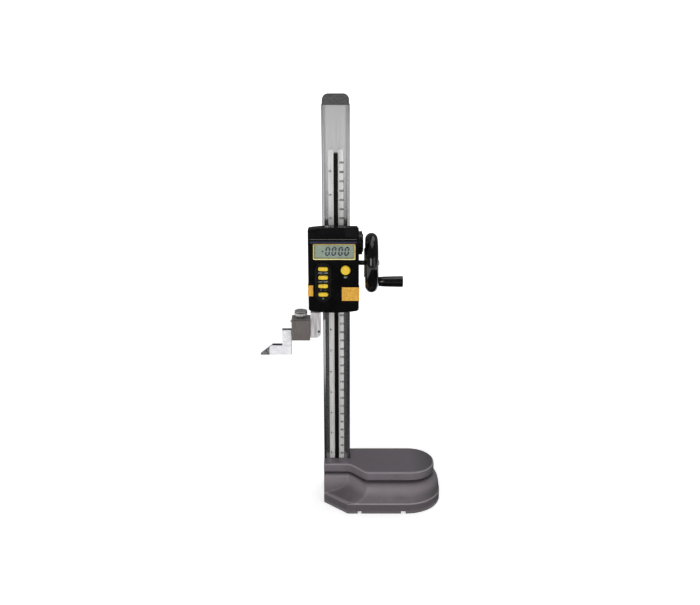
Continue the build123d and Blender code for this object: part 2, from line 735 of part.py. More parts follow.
# ---- slider frame --------------------------------------------------------------------
shaft_seat = (frame_right - bush_length, frame_right)
gib_z = (frame_bottom + gib_end, frame_top - gib_end)
gib_screw_z = [(frame_bottom + frame_top) / 2 + side * gib_screw_pitch / 2 for side in (-1, 1)]
passage_x = column_width / 2 + slide_gap
reader_back = -reader_air
reader_front = reader_back - board_thickness
with BuildPart() as slider_frame:
    block((frame_left, frame_right), (frame_front, frame_back), (frame_bottom, frame_top))
    fillet(slider_frame.edges().filter_by(Axis.Z).group_by(Axis.Y)[-1], frame_round)
    chamfer(slider_frame.faces().sort_by(Axis.Y)[-1].edges(), 0.8)
    # passage for the column and, behind it, the gib
    block((-passage_x, passage_x), (-slide_gap, column_depth + slide_gap), (frame_bottom, frame_top),
          Mode.SUBTRACT)
    block((-passage_x, passage_x), (0, frame_inner_back), gib_z, Mode.SUBTRACT)
    # cavity for the pinion, open towards the rack
    cavity_x = pinion_width / 2 + pinion_room
    rod_x((-cavity_x, cavity_x), shaft_y, shaft_z, pinion_tip + pinion_room, Mode.SUBTRACT)
    # bore for the shaft and seats for its bushes
    rod_x((frame_left, frame_right), shaft_y, shaft_z, shaft_r + free_gap / 2, Mode.SUBTRACT)
    rod_x(shaft_seat, shaft_y, shaft_z, bush_diameter / 2, Mode.SUBTRACT)
    rod_x((frame_left, left_seat[1]), shaft_y, shaft_z, bush_diameter / 2 + seat_gap, Mode.SUBTRACT)
    # pocket for the reader board, facing the scales
    block((-reader_width / 2 - seat_gap, reader_width / 2 + seat_gap),
          (reader_front, 0),
          (reader_z - reader_height / 2 - seat_gap, reader_z + reader_height / 2 + seat_gap),
          Mode.SUBTRACT)
    for z in gib_screw_z:
        rod_y(0, (column_depth, frame_back), z, gib_screw_thread / 2 + running_gap, Mode.SUBTRACT)
    rod_x((column_width / 2, frame_right), column_mid, lock_z, lock_thread / 2 + running_gap, Mode.SUBTRACT)
    for x, z in head_screw_places:
        rod_y(x, (frame_front, frame_front + head_screw_length), z, head_screw_thread / 2 + running_gap / 2,
              Mode.SUBTRACT)
    for z in arm_screw_z:
        rod_x((frame_left, arm_left + arm_screw_length + 0.5), arm_screw_y, z,
              arm_screw_thread / 2 + running_gap / 2, Mode.SUBTRACT)
save(slider_frame.part, "slider_frame")

with BuildPart() as gib:
    block((seat_gap - passage_x, passage_x - seat_gap),
          (column_depth + slide_gap, frame_inner_back), (gib_z[0] + seat_gap, gib_z[1] - seat_gap))
save(gib.part, "gib")

with BuildPart() as gib_screws:
    for z in gib_screw_z:
        rod_y(0, (frame_inner_back, frame_back + gib_screw_proud), z, gib_screw_thread / 2)
        with BuildSketch(front_plane(frame_back + gib_screw_proud)):
            with Locations((0, z)):
                Rectangle(gib_screw_thread, 0.8)
        extrude(amount=1.0, mode=Mode.SUBTRACT)
save(gib_screws.part, "gib_screws")

with BuildPart() as reader_board:
    block((-reader_width / 2, reader_width / 2), (reader_front, reader_back),
          (reader_z - reader_height / 2, reader_z + reader_height / 2))
save(reader_board.part, "reader_board")

with BuildPart() as right_bush:
    rod_x(shaft_seat, shaft_y, shaft_z, bush_diameter / 2)
    rod_x((frame_right, frame_right + bush_flange_thickness), shaft_y, shaft_z, bush_flange / 2)
    rod_x((shaft_seat[0], frame_right + bush_flange_thickness), shaft_y, shaft_z, shaft_r + running_gap,
          Mode.SUBTRACT)
save(right_bush.part, "right_bush")

with BuildPart() as left_bush:
    rod_x(left_seat, shaft_y, shaft_z, bush_diameter / 2 + seat_gap)
    rod_x(left_seat, shaft_y, shaft_z, shaft_r + running_gap, Mode.SUBTRACT)
save(left_bush.part, "left_bush")

# ---- lock knob -----------------------------------------------------------------------
with BuildPart() as lock_pad:
    rod_x((column_width / 2 + slide_gap, column_width / 2 + slide_gap + lock_pad_length), column_mid, lock_z,
          lock_thread / 2)
save(lock_pad.part, "lock_pad")

lock_plane = Plane((lock_knob_start, column_mid, lock_z), x_dir=(0, 1, 0), z_dir=(1, 0, 0))
with BuildPart() as lock_knob:
    with BuildSketch(lock_plane):
        Circle(lock_knob_diameter / 2)
        with PolarLocations(lock_knob_diameter / 2 + lock_flute_radius * 0.4, lock_flutes):
            Circle(lock_flute_radius, mode=Mode.SUBTRACT)
    extrude(amount=lock_knob_end - lock_knob_start)
    rod_x((lock_knob_end, lock_face_end), column_mid, lock_z, lock_face_diameter / 2)
    rod_x((column_width / 2 + slide_gap + lock_pad_length, lock_knob_start), column_mid, lock_z,
          lock_thread / 2)
save(lock_knob.part, "lock_knob")


# ---- display head --------------------------------------------------------------------
def head_outline(y, inset=0.0):
    """The head's face: upright sides, bowed top and bottom, rounded corners."""
    with BuildSketch(front_plane(y)) as face:
        with BuildLine():
            ThreePointArc((head_left, head_top_corner), (head_mid, head_top), (head_right, head_top_corner))
            Line((head_right, head_top_corner), (head_right, head_bottom_corner))
            ThreePointArc((head_right, head_bottom_corner), (head_mid, head_bottom),
                          (head_left, head_bottom_corner))
            Line((head_left, head_bottom_corner), (head_left, head_top_corner))
        make_face()
        fillet(face.vertices().group_by(Axis.Y)[-1], head_round_top)
        fillet(face.vertices().group_by(Axis.Y)[0], head_round_bottom)
        if inset:
            offset(amount=-inset)
    return face.sketch


post_places = [(head_left + post_inset, head_bottom_corner + post_inset),
               (head_right - post_inset, head_bottom_corner + post_inset),
               (head_left + post_inset, head_top_corner - post_inset),
               (head_mid, head_top_corner - post_inset + post_lift)]
board_left = head_left + shell_wall + board_margin
board_right = head_right - shell_wall - board_margin
board_post_x = (board_left + board_post_inset, board_right - board_post_inset)
board_post_low = board_bottom + board_post_inset
board_post_high = (display_bottom + key_top_z) / 2 + board_post_rise
board_post_places = [(board_post_x[0], board_post_low + post_diameter), (board_post_x[1], board_post_low),
                     (board_post_x[0], board_post_high), (board_post_x[1], board_post_high)]
key_places = [(key_x, key_top_z - key_pitch * number) for number in range(key_count)]
surround_height = key_top_z - key_bottom_z + 2 * surround_margin
surround_mid = (key_top_z + key_bottom_z) / 2 - surround_lower
left_grip_x = (head_left - grip_proud, left_grip_edge)
right_grip_x = (right_grip_edge, head_right + grip_proud)
door_x = (door_mid - door_width / 2, door_mid + door_width / 2)
door_top = head_top - door_top_thickness
cell_y = (wall_back + cell_gap, wall_back + cell_gap + cell_thickness)


def pill(x, z, grow=0.0):
    """A key's outline, a short bar with well rounded ends."""
    with Locations((x, z)):
        RectangleRounded(key_width + 2 * grow, key_height + 2 * grow, key_height / 2.4 + grow)


with BuildPart() as housing:
    extrude(head_outline(head_front), amount=-(shell_back - head_front))
    fillet(housing.faces().sort_by(Axis.Y)[0].edges(), head_edge)
    extrude(head_outline(wall_back, shell_wall), amount=-(shell_back - wall_back), mode=Mode.SUBTRACT)
    for x, z in post_places:
        rod_y(x, (wall_back, shell_back), z, post_diameter / 2)
        rod_y(x, (shell_back - cover_screw_length, shell_back), z, cover_screw_thread / 2 + running_gap / 2,
              Mode.SUBTRACT)
    for x, z in board_post_places:
        rod_y(x, (wall_back, board_front), z, post_diameter / 2 - 0.5)
        rod_y(x, (wall_back + 0.5, board_front), z, cover_screw_thread / 2 + running_gap / 2, Mode.SUBTRACT)
    # stepped opening for the display
    with BuildSketch(front_plane(head_front)):
        with Locations((display_x, display_z)):
            RectangleRounded(display_width, display_height, display_rim)
    extrude(amount=-display_rim_depth, mode=Mode.SUBTRACT)
    with BuildSketch(front_plane(head_front)):
        with Locations((display_x, display_z)):
            Rectangle(display_width - 2 * (display_rim + display_lip),
                      display_height - 2 * (display_rim + display_lip))
    extrude(amount=-front_wall, mode=Mode.SUBTRACT)
    # openings for the keys, and the shallow seat of the surround
    with BuildSketch(front_plane(head_front)):
        with Locations((key_x, surround_mid)):
            SlotOverall(surround_height + 2 * seat_gap, surround_width + 2 * seat_gap, rotation=90)
    extrude(amount=-surround_sink, mode=Mode.SUBTRACT)
    with BuildSketch(front_plane(head_front)):
        for x, z in key_places:
            pill(x, z, key_gap)
        with Locations((round_key_x, round_key_z)):
            Circle(round_key_diameter / 2 + key_gap)
    extrude(amount=-front_wall, mode=Mode.SUBTRACT)
    # seats for the side grips
    for edge_x, span_z in (((head_left, left_grip_edge), left_grip_z),
                           ((right_grip_edge, head_right), right_grip_z)):
        room_z = (span_z[0] - seat_gap, span_z[1] + seat_gap)
        block((edge_x[0] - (seat_gap if edge_x[0] > head_left else 0),
               edge_x[1] + (seat_gap if edge_x[1] < head_right else 0)),
              (head_front, head_front + grip_sink), room_z, Mode.SUBTRACT)
        side = (head_left, head_left + grip_sink) if edge_x[0] == head_left else (head_right - grip_sink,
                                                                               head_right)
        block(side, (head_front, head_front + grip_depth + seat_gap), room_z, Mode.SUBTRACT)
    # slot for the cell, and the seat of its door
    block((cell_x - cell_diameter / 2 - cell_gap, cell_x + cell_diameter / 2 + cell_gap),
          (wall_back, cell_y[1] + cell_gap), (cell_z, head_top), Mode.SUBTRACT)
    block((door_x[0] - seat_gap, door_x[1] + seat_gap), (head_front, head_front + door_thickness),
          (door_bottom - seat_gap, head_top), Mode.SUBTRACT)
    block((door_x[0] - seat_gap, door_x[1] + seat_gap), (head_front, cell_y[1] + cell_gap),
          (door_top - seat_gap, head_top), Mode.SUBTRACT)
save(housing.part, "housing")

with BuildPart() as back_cover:
    extrude(head_outline(shell_back, seat_gap), amount=-cover_thickness)
    for x, z in post_places:
        rod_y(x, (shell_back, head_back), z, cover_screw_thread / 2 + running_gap / 2, Mode.SUBTRACT)
        with BuildSketch(front_plane(head_back)) as wide:
            with Locations((x, z)):
                Circle(cover_screw_head / 2)
        extrude(wide.sketch, amount=(cover_screw_head - cover_screw_thread) / 2, taper=45,
                mode=Mode.SUBTRACT)
    for x, z in head_screw_places:
        rod_y(x, (shell_back, head_back), z, head_screw_thread / 2 + running_gap / 2, Mode.SUBTRACT)
save(back_cover.part, "back_cover")

with BuildPart() as cover_screws:
    for x, z in post_places:
        rod_y(x, (shell_back - cover_screw_length + 0.3, head_back), z, cover_screw_thread / 2)
        with BuildSketch(front_plane(head_back)) as wide:
            with Locations((x, z)):
                Circle(cover_screw_head / 2 - running_gap)
        extrude(wide.sketch, amount=(cover_screw_head - cover_screw_thread) / 2 - running_gap, taper=45)
save(cover_screws.part, "cover_screws")

with BuildPart() as head_screws:
    for x, z in head_screw_places:
        rod_y(x, (shell_back - head_screw_height, shell_back), z, head_screw_head / 2)
        rod_y(x, (shell_back, shell_back + head_screw_length), z, head_screw_thread / 2)
        with BuildSketch(front_plane(shell_back - head_screw_height)):
            with Locations((x, z)):
                Rectangle(head_screw_head, 0.9)
        extrude(amount=-0.7, mode=Mode.SUBTRACT)
save(head_screws.part, "head_screws")

# ---- display -------------------------------------------------------------------------
with BuildPart() as display_frame:
    with BuildSketch(front_plane(head_front - display_rim_proud)):
        with Locations((display_x, display_z)):
            RectangleRounded(display_width - 2 * seat_gap, display_height - 2 * seat_gap,
                             display_rim - seat_gap)
            Rectangle(display_width - 2 * display_rim, display_height - 2 * display_rim, mode=Mode.SUBTRACT)
    extrude(amount=-(display_rim_depth + display_rim_proud))
save(display_frame.part, "display_frame")

with BuildPart() as display_window:
    with BuildSketch(front_plane(head_front + display_rim_depth - window_thickness)):
        with Locations((display_x, display_z)):
            Rectangle(display_width - 2 * display_rim - 2 * seat_gap,
                      display_height - 2 * display_rim - 2 * seat_gap)
    extrude(amount=-window_thickness)
save(display_window.part, "display_window")

lcd_width = display_width - 2 * lcd_margin
lcd_height = display_height - 2 * lcd_margin
with BuildPart() as lcd_panel:
    with BuildSketch(front_plane(wall_back)):
        with Locations((display_x, display_z)):
            Rectangle(lcd_width, lcd_height)
    extrude(amount=-lcd_thickness)
save(lcd_panel.part, "lcd_panel")

with BuildPart() as lcd_holder:
    with BuildSketch(front_plane(lcd_back)):
        with Locations((display_x, display_z)):
            Rectangle(lcd_width, lcd_height)
            Rectangle(lcd_width - 2 * holder_wall, lcd_height - 2 * holder_wall, mode=Mode.SUBTRACT)
    extrude(amount=-holder_thickness)
save(lcd_holder.part, "lcd_holder")

with BuildPart() as circuit_board:
    block((board_left, board_right), (board_front, board_back), (board_bottom, board_top))
    for x, z in board_post_places:
        rod_y(x, (board_front, board_back), z, cover_screw_thread / 2 + running_gap / 2, Mode.SUBTRACT)
    for x, z in post_places:
        rod_y(x, (board_front, board_back), z, post_diameter / 2 + free_gap, Mode.SUBTRACT)
save(circuit_board.part, "circuit_board")

with BuildPart() as board_screws:
    for x, z in board_post_places:
        rod_y(x, (board_back, board_back + board_screw_head_height), z, board_screw_head / 2)
        rod_y(x, (wall_back + board_screw_room, board_back), z, cover_screw_thread / 2)
save(board_screws.part, "board_screws")

key_stop = wall_back + running_gap
key_back = key_stop + key_flange_thickness
switch_front = key_back + key_travel + switch_air
with BuildPart() as key_switches:
    for x, z in key_places + [(round_key_x, round_key_z)]:
        half = switch_size / 2
        block((x - half, x + half), (switch_front, board_front), (z - half, z + half))
save(key_switches.part, "key_switches")

# ---- keys ----------------------------------------------------------------------------
with BuildPart() as key_surround:
    with BuildSketch(front_plane(head_front - surround_thickness)):
        with Locations((key_x, surround_mid)):
            SlotOverall(surround_height, surround_width, rotation=90)
        for x, z in key_places:
            with Locations((x, z)):
                RectangleRounded(key_width + 2 * key_gap, key_height + 2 * key_gap,
                                 key_height / 2.4 + key_gap, mode=Mode.SUBTRACT)
    extrude(amount=-(surround_thickness + surround_sink))
    chamfer(key_surround.faces().sort_by(Axis.Y)[0].outer_wire().edges(), 0.3)
save(key_surround.part, "key_surround")

for number, (x, z) in enumerate(key_places, start=1):
    with BuildPart() as key:
        with BuildSketch(front_plane(head_front - surround_thickness - key_proud)):
            pill(x, z)
        extrude(amount=-(key_stop - head_front + surround_thickness + key_proud))
        fillet(key.faces().sort_by(Axis.Y)[0].edges(), 0.6)
        with BuildSketch(front_plane(key_stop)):
            with Locations((x, z)):
                Rectangle(key_width + 2 * key_flange, key_height + 2 * key_flange)
        extrude(amount=-key_flange_thickness)
    save(key.part, f"key_{number}")

with BuildPart() as round_key:
    with BuildSketch(front_plane(head_front - round_key_proud)):
        with Locations((round_key_x, round_key_z)):
            Circle(round_key_diameter / 2)
    extrude(amount=-(key_stop - head_front + round_key_proud))
    fillet(round_key.faces().sort_by(Axis.Y)[0].edges(), 1.0)
    rod_y(round_key_x, (key_stop, key_back), round_key_z, round_key_diameter / 2 + key_flange)
save(round_key.part, "round_key")


# ---- side grips ----------------------------------------------------------------------
def side_grip(span_x, span_z, name):
    """A moulded grip that wraps from the face round one side of the head."""
    outer = span_x[0] if span_x[0] < head_mid and span_x[0] < head_left else span_x[1]
    side_x = (outer, head_left + grip_sink) if outer < head_mid else (head_right - grip_sink, outer)
    with BuildPart() as grip:
        block(span_x, (head_front - grip_proud, head_front + grip_sink), span_z)
        block(side_x, (head_front - grip_proud, head_front + grip_depth), span_z)
        pitch = (span_z[1] - span_z[0]) / grip_ribs
        for rib in range(1, grip_ribs):
            z = span_z[0] + pitch * rib
            block((span_x[0], span_x[1]), (head_front - grip_proud, head_front - grip_proud + grip_rib_sink),
                  (z - pitch / 8, z + pitch / 8), Mode.SUBTRACT)
    save(grip.part, name)


side_grip(left_grip_x, left_grip_z, "left_grip")
side_grip(right_grip_x, right_grip_z, "right_grip")

# ---- cell and its door ---------------------------------------------------------------
with BuildPart() as battery_cell:
    rod_y(cell_x, cell_y, cell_z, cell_diameter / 2)
save(battery_cell.part, "battery_cell")

with BuildPart() as battery_holder:
    cell_r = cell_diameter / 2
    block((cell_x - cell_r - cell_holder_wall, cell_x + cell_r + cell_holder_wall), (wall_back, shell_back),
          (cell_z - cell_r - cell_holder_wall, cell_z - cell_r + cell_holder_height))
    rod_y(cell_x, cell_y, cell_z, cell_r + running_gap, Mode.SUBTRACT)
    block((cell_x - cell_r, cell_x + cell_r), (cell_y[0] + cell_gap, cell_y[1] - cell_gap),
          (cell_z, cell_z + cell_r), Mode.SUBTRACT)
save(battery_holder.part, "battery_holder")

with BuildPart() as battery_door:
    block(door_x, (head_front - door_proud, head_front + door_thickness - seat_gap), (door_bottom, head_top))
    block(door_x, (head_front - door_proud, cell_y[1]), (door_top, head_top))
    pitch = door_width / door_ribs
    for rib in range(door_ribs):
        x = door_x[0] + pitch * (rib + 0.5)
        block((x - door_rib_width / 2, x + door_rib_width / 2),
              (head_front - door_proud - door_rib_height, head_front - door_proud),
              (door_bottom + 1, head_top - 1))
save(battery_door.part, "battery_door")

# ---- measuring arm -------------------------------------------------------------------
with BuildPart() as measuring_arm:
    with BuildSketch(front_plane(arm_front)) as arm_face:
        with Locations(((arm_left + arm_right) / 2, (arm_bottom + arm_top) / 2)):
            Rectangle(arm_right - arm_left, arm_top - arm_bottom)
        chamfer(arm_face.vertices().group_by(Axis.Y)[0].sort_by(Axis.X)[-1:], arm_chamfer)
    extrude(amount=-(arm_back - arm_front))
    block((arm_left, frame_left), (frame_front + seat_gap, cheek_back),
          (frame_bottom - cheek_drop, frame_bottom + cheek_rise))
    block((bar_end, arm_left + 1), (scriber_mid - bar_width / 2, scriber_mid + bar_width / 2),
          (shank_top, bar_top))
    for z in arm_screw_z:
        rod_x((arm_left, frame_left), arm_screw_y, z, arm_screw_thread / 2 + running_gap / 2, Mode.SUBTRACT)
        with BuildSketch(Plane.YZ.offset(arm_left)) as wide:
            with Locations((arm_screw_y, z)):
                Circle(arm_screw_head / 2)
        extrude(wide.sketch, amount=(arm_screw_head - arm_screw_thread) / 2, taper=45, mode=Mode.SUBTRACT)
    rod_y(stop_screw_x, (arm_front, arm_front + stop_screw_length), stop_screw_z,
          stop_screw_diameter / 2 + running_gap / 2, Mode.SUBTRACT)
save(measuring_arm.part, "measuring_arm")

with BuildPart() as arm_screws:
    for z in arm_screw_z:
        rod_x((arm_left, arm_left + arm_screw_length), arm_screw_y, z, arm_screw_thread / 2)
        with BuildSketch(Plane.YZ.offset(arm_left)) as wide:
            with Locations((arm_screw_y, z)):
                Circle(arm_screw_head / 2 - running_gap)
        extrude(wide.sketch, amount=(arm_screw_head - arm_screw_thread) / 2 - running_gap, taper=45)
        with BuildSketch(Plane.YZ.offset(arm_left)) as hexagon:
            with Locations((arm_screw_y, z)):
                RegularPolygon(arm_screw_thread / 3, 6)
        extrude(hexagon.sketch, amount=1.6, mode=Mode.SUBTRACT)
save(arm_screws.part, "arm_screws")

with BuildPart() as stop_screw:
    rod_y(stop_screw_x, (arm_front - stop_screw_proud, arm_front - stop_screw_proud + stop_screw_length),
          stop_screw_z, stop_screw_diameter / 2)
save(stop_screw.part, "stop_screw")

# ---- scriber clamp -------------------------------------------------------------------
clamp_y = (scriber_mid - clamp_depth / 2, scriber_mid + clamp_depth / 2)
slot_y = (scriber_mid - bar_width / 2 - slide_gap, scriber_mid + bar_width / 2 + slide_gap)
clamp_pin_y = slot_y[0] - clamp_pin_wall - clamp_pin_diameter / 2
with BuildPart() as scriber_clamp:
    block((clamp_left, clamp_right), clamp_y, (clamp_bottom, clamp_top))
    chamfer(scriber_clamp.edges().filter_by(Axis.Z), clamp_edge)
    block((clamp_left, clamp_right), slot_y, (shank_bottom - slide_gap, clamp_slot_top), Mode.SUBTRACT)
    rod_z(clamp_mid, scriber_mid, (clamp_slot_top, clamp_top), thumb_thread / 2 + running_gap, Mode.SUBTRACT)
    for x in ((clamp_left, clamp_left + clamp_pin_length - clamp_pin_proud),
              (clamp_right - clamp_pin_length + clamp_pin_proud, clamp_right)):
        rod_x(x, clamp_pin_y, clamp_top - clamp_pin_drop,
              clamp_pin_diameter / 2 + running_gap / 2, Mode.SUBTRACT)
save(scriber_clamp.part, "scriber_clamp")

with BuildPart() as clamp_pins:
    for x in ((clamp_left - clamp_pin_proud, clamp_left + clamp_pin_length - clamp_pin_proud),
              (clamp_right - clamp_pin_length + clamp_pin_proud, clamp_right + clamp_pin_proud)):
        rod_x(x, clamp_pin_y, clamp_top - clamp_pin_drop, clamp_pin_diameter / 2)
save(clamp_pins.part, "clamp_pins")

with BuildPart() as clamp_pad:
    block((clamp_left + 1, clamp_right - 1), (slot_y[0] + slide_gap, slot_y[1] - slide_gap),
          (bar_top + slide_gap, pad_top))
save(clamp_pad.part, "clamp_pad")

thumb_start = clamp_top + seat_gap
with BuildPart() as thumb_screw:
    rod_z(clamp_mid, scriber_mid, (pad_top, thumb_start), thumb_thread / 2)
    rod_z(clamp_mid, scriber_mid, (thumb_start, thumb_start + thumb_neck_height), thumb_neck / 2)
    head_z = thumb_start + thumb_neck_height
    with BuildSketch(Plane.XY.offset(head_z)):
        with Locations((clamp_mid, scriber_mid)):
            Circle(thumb_head / 2)
            with PolarLocations(thumb_head / 2, thumb_flutes):
                Circle(thumb_flute_radius, mode=Mode.SUBTRACT)
    extrude(amount=thumb_head_height)
save(thumb_screw.part, "thumb_screw")

# ---- scriber -------------------------------------------------------------------------
tip_back = tip_end + tip_length
nose_slope = (foot_top - tip_z - tip_edge) / (nose_top - tip_end)
tip_top = tip_z + tip_edge + nose_slope * tip_length
scriber_y = scriber_mid - bar_width / 2
with BuildPart() as scriber:
    with BuildSketch(front_plane(scriber_y)):
        with BuildLine():
            Polyline((tip_back, tip_z), (riser_right, tip_z), (riser_right, shank_bottom),
                     (shank_end, shank_bottom), (shank_end, shank_top - slide_gap),
                     (riser_left, shank_top - slide_gap), (riser_left, foot_top), (nose_top, foot_top),
                     (tip_back, tip_top), close=True)
        make_face()
    extrude(amount=-bar_width)
    chamfer(scriber.edges().filter_by(Axis.Y).sort_by(Axis.X)[-2:], 0.5)
save(scriber.part, "scriber")

with BuildPart() as carbide_tip:
    with BuildSketch(front_plane(scriber_y)):
        with BuildLine():
            Polyline((tip_end, tip_z), (tip_back, tip_z), (tip_back, tip_top), (tip_end, tip_z + tip_edge),
                     close=True)
        make_face()
    extrude(amount=-bar_width)
save(carbide_tip.part, "carbide_tip")

print("pitch radius", pitch_radius, "travel", -tip_z, travel_up, "slot top", round(slot_top, 2))
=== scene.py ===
# %% [markdown]
# # A digital height gauge in Blender
# A height gauge stands on a surface plate and measures upwards. A slider runs on a
# ground steel column, a hand wheel drives it through a rack, and a carbide-tipped
# scriber touches the work. The solids come from a CAD model that is already packed,
# so this lesson only gives them their finish, adds the fine print and small relief
# that CAD leaves out, and lights the result. Every length is in metres.

import bpy
import numpy as np
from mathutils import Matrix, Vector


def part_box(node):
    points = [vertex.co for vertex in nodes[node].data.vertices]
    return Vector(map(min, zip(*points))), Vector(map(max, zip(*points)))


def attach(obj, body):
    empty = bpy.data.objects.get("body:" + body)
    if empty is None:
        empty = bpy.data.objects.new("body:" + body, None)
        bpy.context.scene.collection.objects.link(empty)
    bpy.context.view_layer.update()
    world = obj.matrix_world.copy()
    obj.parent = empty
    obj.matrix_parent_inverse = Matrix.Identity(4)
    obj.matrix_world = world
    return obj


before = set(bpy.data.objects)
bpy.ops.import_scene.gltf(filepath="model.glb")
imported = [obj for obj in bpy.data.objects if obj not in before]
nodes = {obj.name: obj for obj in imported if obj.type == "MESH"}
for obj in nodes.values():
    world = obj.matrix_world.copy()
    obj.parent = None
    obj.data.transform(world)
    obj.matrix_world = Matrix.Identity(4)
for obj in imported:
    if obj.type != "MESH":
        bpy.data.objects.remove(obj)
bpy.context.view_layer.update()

# %% [markdown]
# ## Units and colours
# The drawings of such tools are in millimetres and inches, and paint charts give
# colours as 8-bit numbers. Two lengths and a short helper turn both into what Blender
# wants: metres, and linear light. A second helper gives the corners of a CAD piece, so
# that what is added later takes its place from the model.

# %% Helpers for units, colours and boxes
MM = 0.001
INCH = 25.4 * MM


def paint(red, green, blue):
    """A colour of a paint chart, 0 to 255, as linear light: ((c + 0.055) / 1.055) ** 2.4."""
    share = np.array([red, green, blue]) / 255
    return tuple(np.where(share <= 0.04045, share / 12.92, ((share + 0.055) / 1.055) ** 2.4))


def corners(node):
    """The lowest and highest corner of a CAD node, as two arrays."""
    low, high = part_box(node)
    return np.array(low), np.array(high)


base_top = corners("base")[1][2]
head_low, head_high = corners("housing")
head_face = head_low[1]
print("base top at", round(base_top / MM, 1), "mm, head face at", round(head_face / MM, 1), "mm")

# %% [markdown]
# ## Camera
# A height gauge shows most of itself from a little above, with the column in the
# middle: the base shows its top and the head shows its face. A lens a little longer
# than normal, at about a metre, keeps the column's edges nearly parallel.

# %% Camera
camera_place = (0.0151, -0.975, 0.562)
degrees_down = 18.3
lens_millimetres = 47.78
sensor_millimetres = 36.0
camera_data = bpy.data.cameras.new("camera")
camera_data.sensor_width = sensor_millimetres
camera_data.lens = lens_millimetres
camera = bpy.data.objects.new("camera", camera_data)
camera.location = camera_place
camera.rotation_euler = (np.radians(90 - degrees_down), 0, 0)
bpy.context.scene.collection.objects.link(camera)
bpy.context.scene.camera = camera
bpy.context.scene.view_settings.view_transform = "Standard"
print("camera at", camera_place)

# %% [markdown]
# ## Meshes from arrays
# The new pieces of the gauge are etched or printed marks, a hair thick or quite flat.
# Two builders cover all but the letters: boxes between two corners give scale marks
# and printed lines, and outlines pushed to a small depth give the bars of the display.
# Both work on whole arrays, so hundreds of scale marks cost no more code than one, and
# both put a piece's place in its mesh, as the CAD nodes have it.

# %% Mesh builders


def new_object(name, points, faces):
    """Points and faces as one object that stands at the origin."""
    mesh = bpy.data.meshes.new(name)
    mesh.from_pydata(np.asarray(points).reshape(-1, 3).tolist(), [], faces)
    mesh.update()
    piece = bpy.data.objects.new(name, mesh)
    bpy.context.scene.collection.objects.link(piece)
    return piece


def mesh_piece(name, points, faces, body):
    """A piece of the gauge, riding on a body."""
    piece = new_object(name, points, faces)
    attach(piece, body)
    return piece


def bars(lows, highs):
    """Boxes whose corner (i, j, k) is low + (high - low) * (i, j, k), with i, j, k 0 or 1."""
    lows, highs = np.atleast_2d(lows), np.atleast_2d(highs)
    pick = np.array([[i, j, k] for i in (0, 1) for j in (0, 1) for k in (0, 1)])
    points = lows[:, None] + (highs - lows)[:, None] * pick[None]
    box = np.array([[0, 1, 3, 2], [4, 6, 7, 5], [0, 4, 5, 1],
                    [2, 3, 7, 6], [0, 2, 6, 4], [1, 5, 7, 3]])
    faces = (np.arange(len(lows)) * 8)[:, None, None] + box[None]
    return points.reshape(-1, 3), faces.reshape(-1, 4).tolist()


def flat_prisms(outlines, front, back):
    """Outlines of (x, z) corners, all with as many corners, pushed from front to back along Y."""
    outlines = np.asarray(outlines)
    count, sides = outlines.shape[:2]
    faces_front = np.insert(outlines, 1, front, axis=2)
    faces_back = np.insert(outlines, 1, back, axis=2)
    points = np.concatenate([faces_front, faces_back], 1).reshape(-1, 3)
    start = (np.arange(count) * 2 * sides)[:, None]
    ring = np.arange(sides)
    caps = np.concatenate([start + ring, start + sides + ring[::-1]]).tolist()
    here, on = ring, (ring + 1) % sides
    walls = np.stack([here, here + sides, on + sides, on], 1)
    walls = (start[:, :, None] + walls[None]).reshape(-1, 4).tolist()
    return points, caps + walls


print("mesh builders ready")

# %% [markdown]
# ## Materials from nodes
# Real finishes are never one flat value. Each one here starts from a Principled shader
# whose fixed values sit on its own sockets. Noise of a real size, read from Object
# coordinates, then moves its colour and roughness a little and gives it a fine relief.
# Noise whose size differs along the axes gives brushing and grinding lines, and soft bands by place
# paint light and shade into the colour on some faces and edges. No range of roughness crosses 0.27,
# since the renderer's noise filter takes smoother spots for mirrors and would draw their outlines.

# %% Material builders


def finish(name, colour, roughness, metallic=0.0, **fixed):
    """A material with fixed values on the Principled shader's own sockets."""
    material = bpy.data.materials.new(name)
    material.use_nodes = True
    shader = material.node_tree.nodes["Principled BSDF"]
    shader.inputs["Base Color"].default_value = (*colour, 1)
    shader.inputs["Roughness"].default_value = roughness
    shader.inputs["Metallic"].default_value = metallic
    for socket, value in fixed.items():
        shader.inputs[socket.replace("_", " ").title().replace("Ior", "IOR")].default_value = value
    return material


def pattern(material, kind, size):
    """A texture node that reads Object coordinates divided by a size in metres."""
    tree = material.node_tree
    where = tree.nodes.new("ShaderNodeTexCoord")
    place = tree.nodes.new("ShaderNodeMapping")
    place.inputs["Scale"].default_value = 1 / (np.ones(3) * size)
    texture = tree.nodes.new(kind)
    texture.inputs["Scale"].default_value = 1.0
    tree.links.new(where.outputs["Object"], place.inputs["Vector"])
    tree.links.new(place.outputs["Vector"], texture.inputs["Vector"])
    return texture


def grain(material, size, detail=3.0):
    """Noise whose spots have the given size, one number or one for each axis."""
    noise = pattern(material, "ShaderNodeTexNoise", size)
    noise.inputs["Detail"].default_value = detail
    return noise.outputs["Fac"]


def cells(material, size):
    """Distance to the nearest of scattered points that lie about one size apart."""
    return pattern(material, "ShaderNodeTexVoronoi", size).outputs["Distance"]


def rescale(material, value, low, high, start=0.3, end=0.7):
    """Moves a value from start...end to low...high, and holds it there."""
    tree = material.node_tree
    span = tree.nodes.new("ShaderNodeMapRange")
    limits = {"From Min": start, "From Max": end, "To Min": low, "To Max": high}
    for socket, number in limits.items():
        span.inputs[socket].default_value = number
    tree.links.new(value, span.inputs["Value"])
    return span.outputs["Result"]


def vary_roughness(material, value, low, high):
    """Lets a value move the roughness from low to high."""
    shader = material.node_tree.nodes["Principled BSDF"]
    material.node_tree.links.new(rescale(material, value, low, high), shader.inputs["Roughness"])


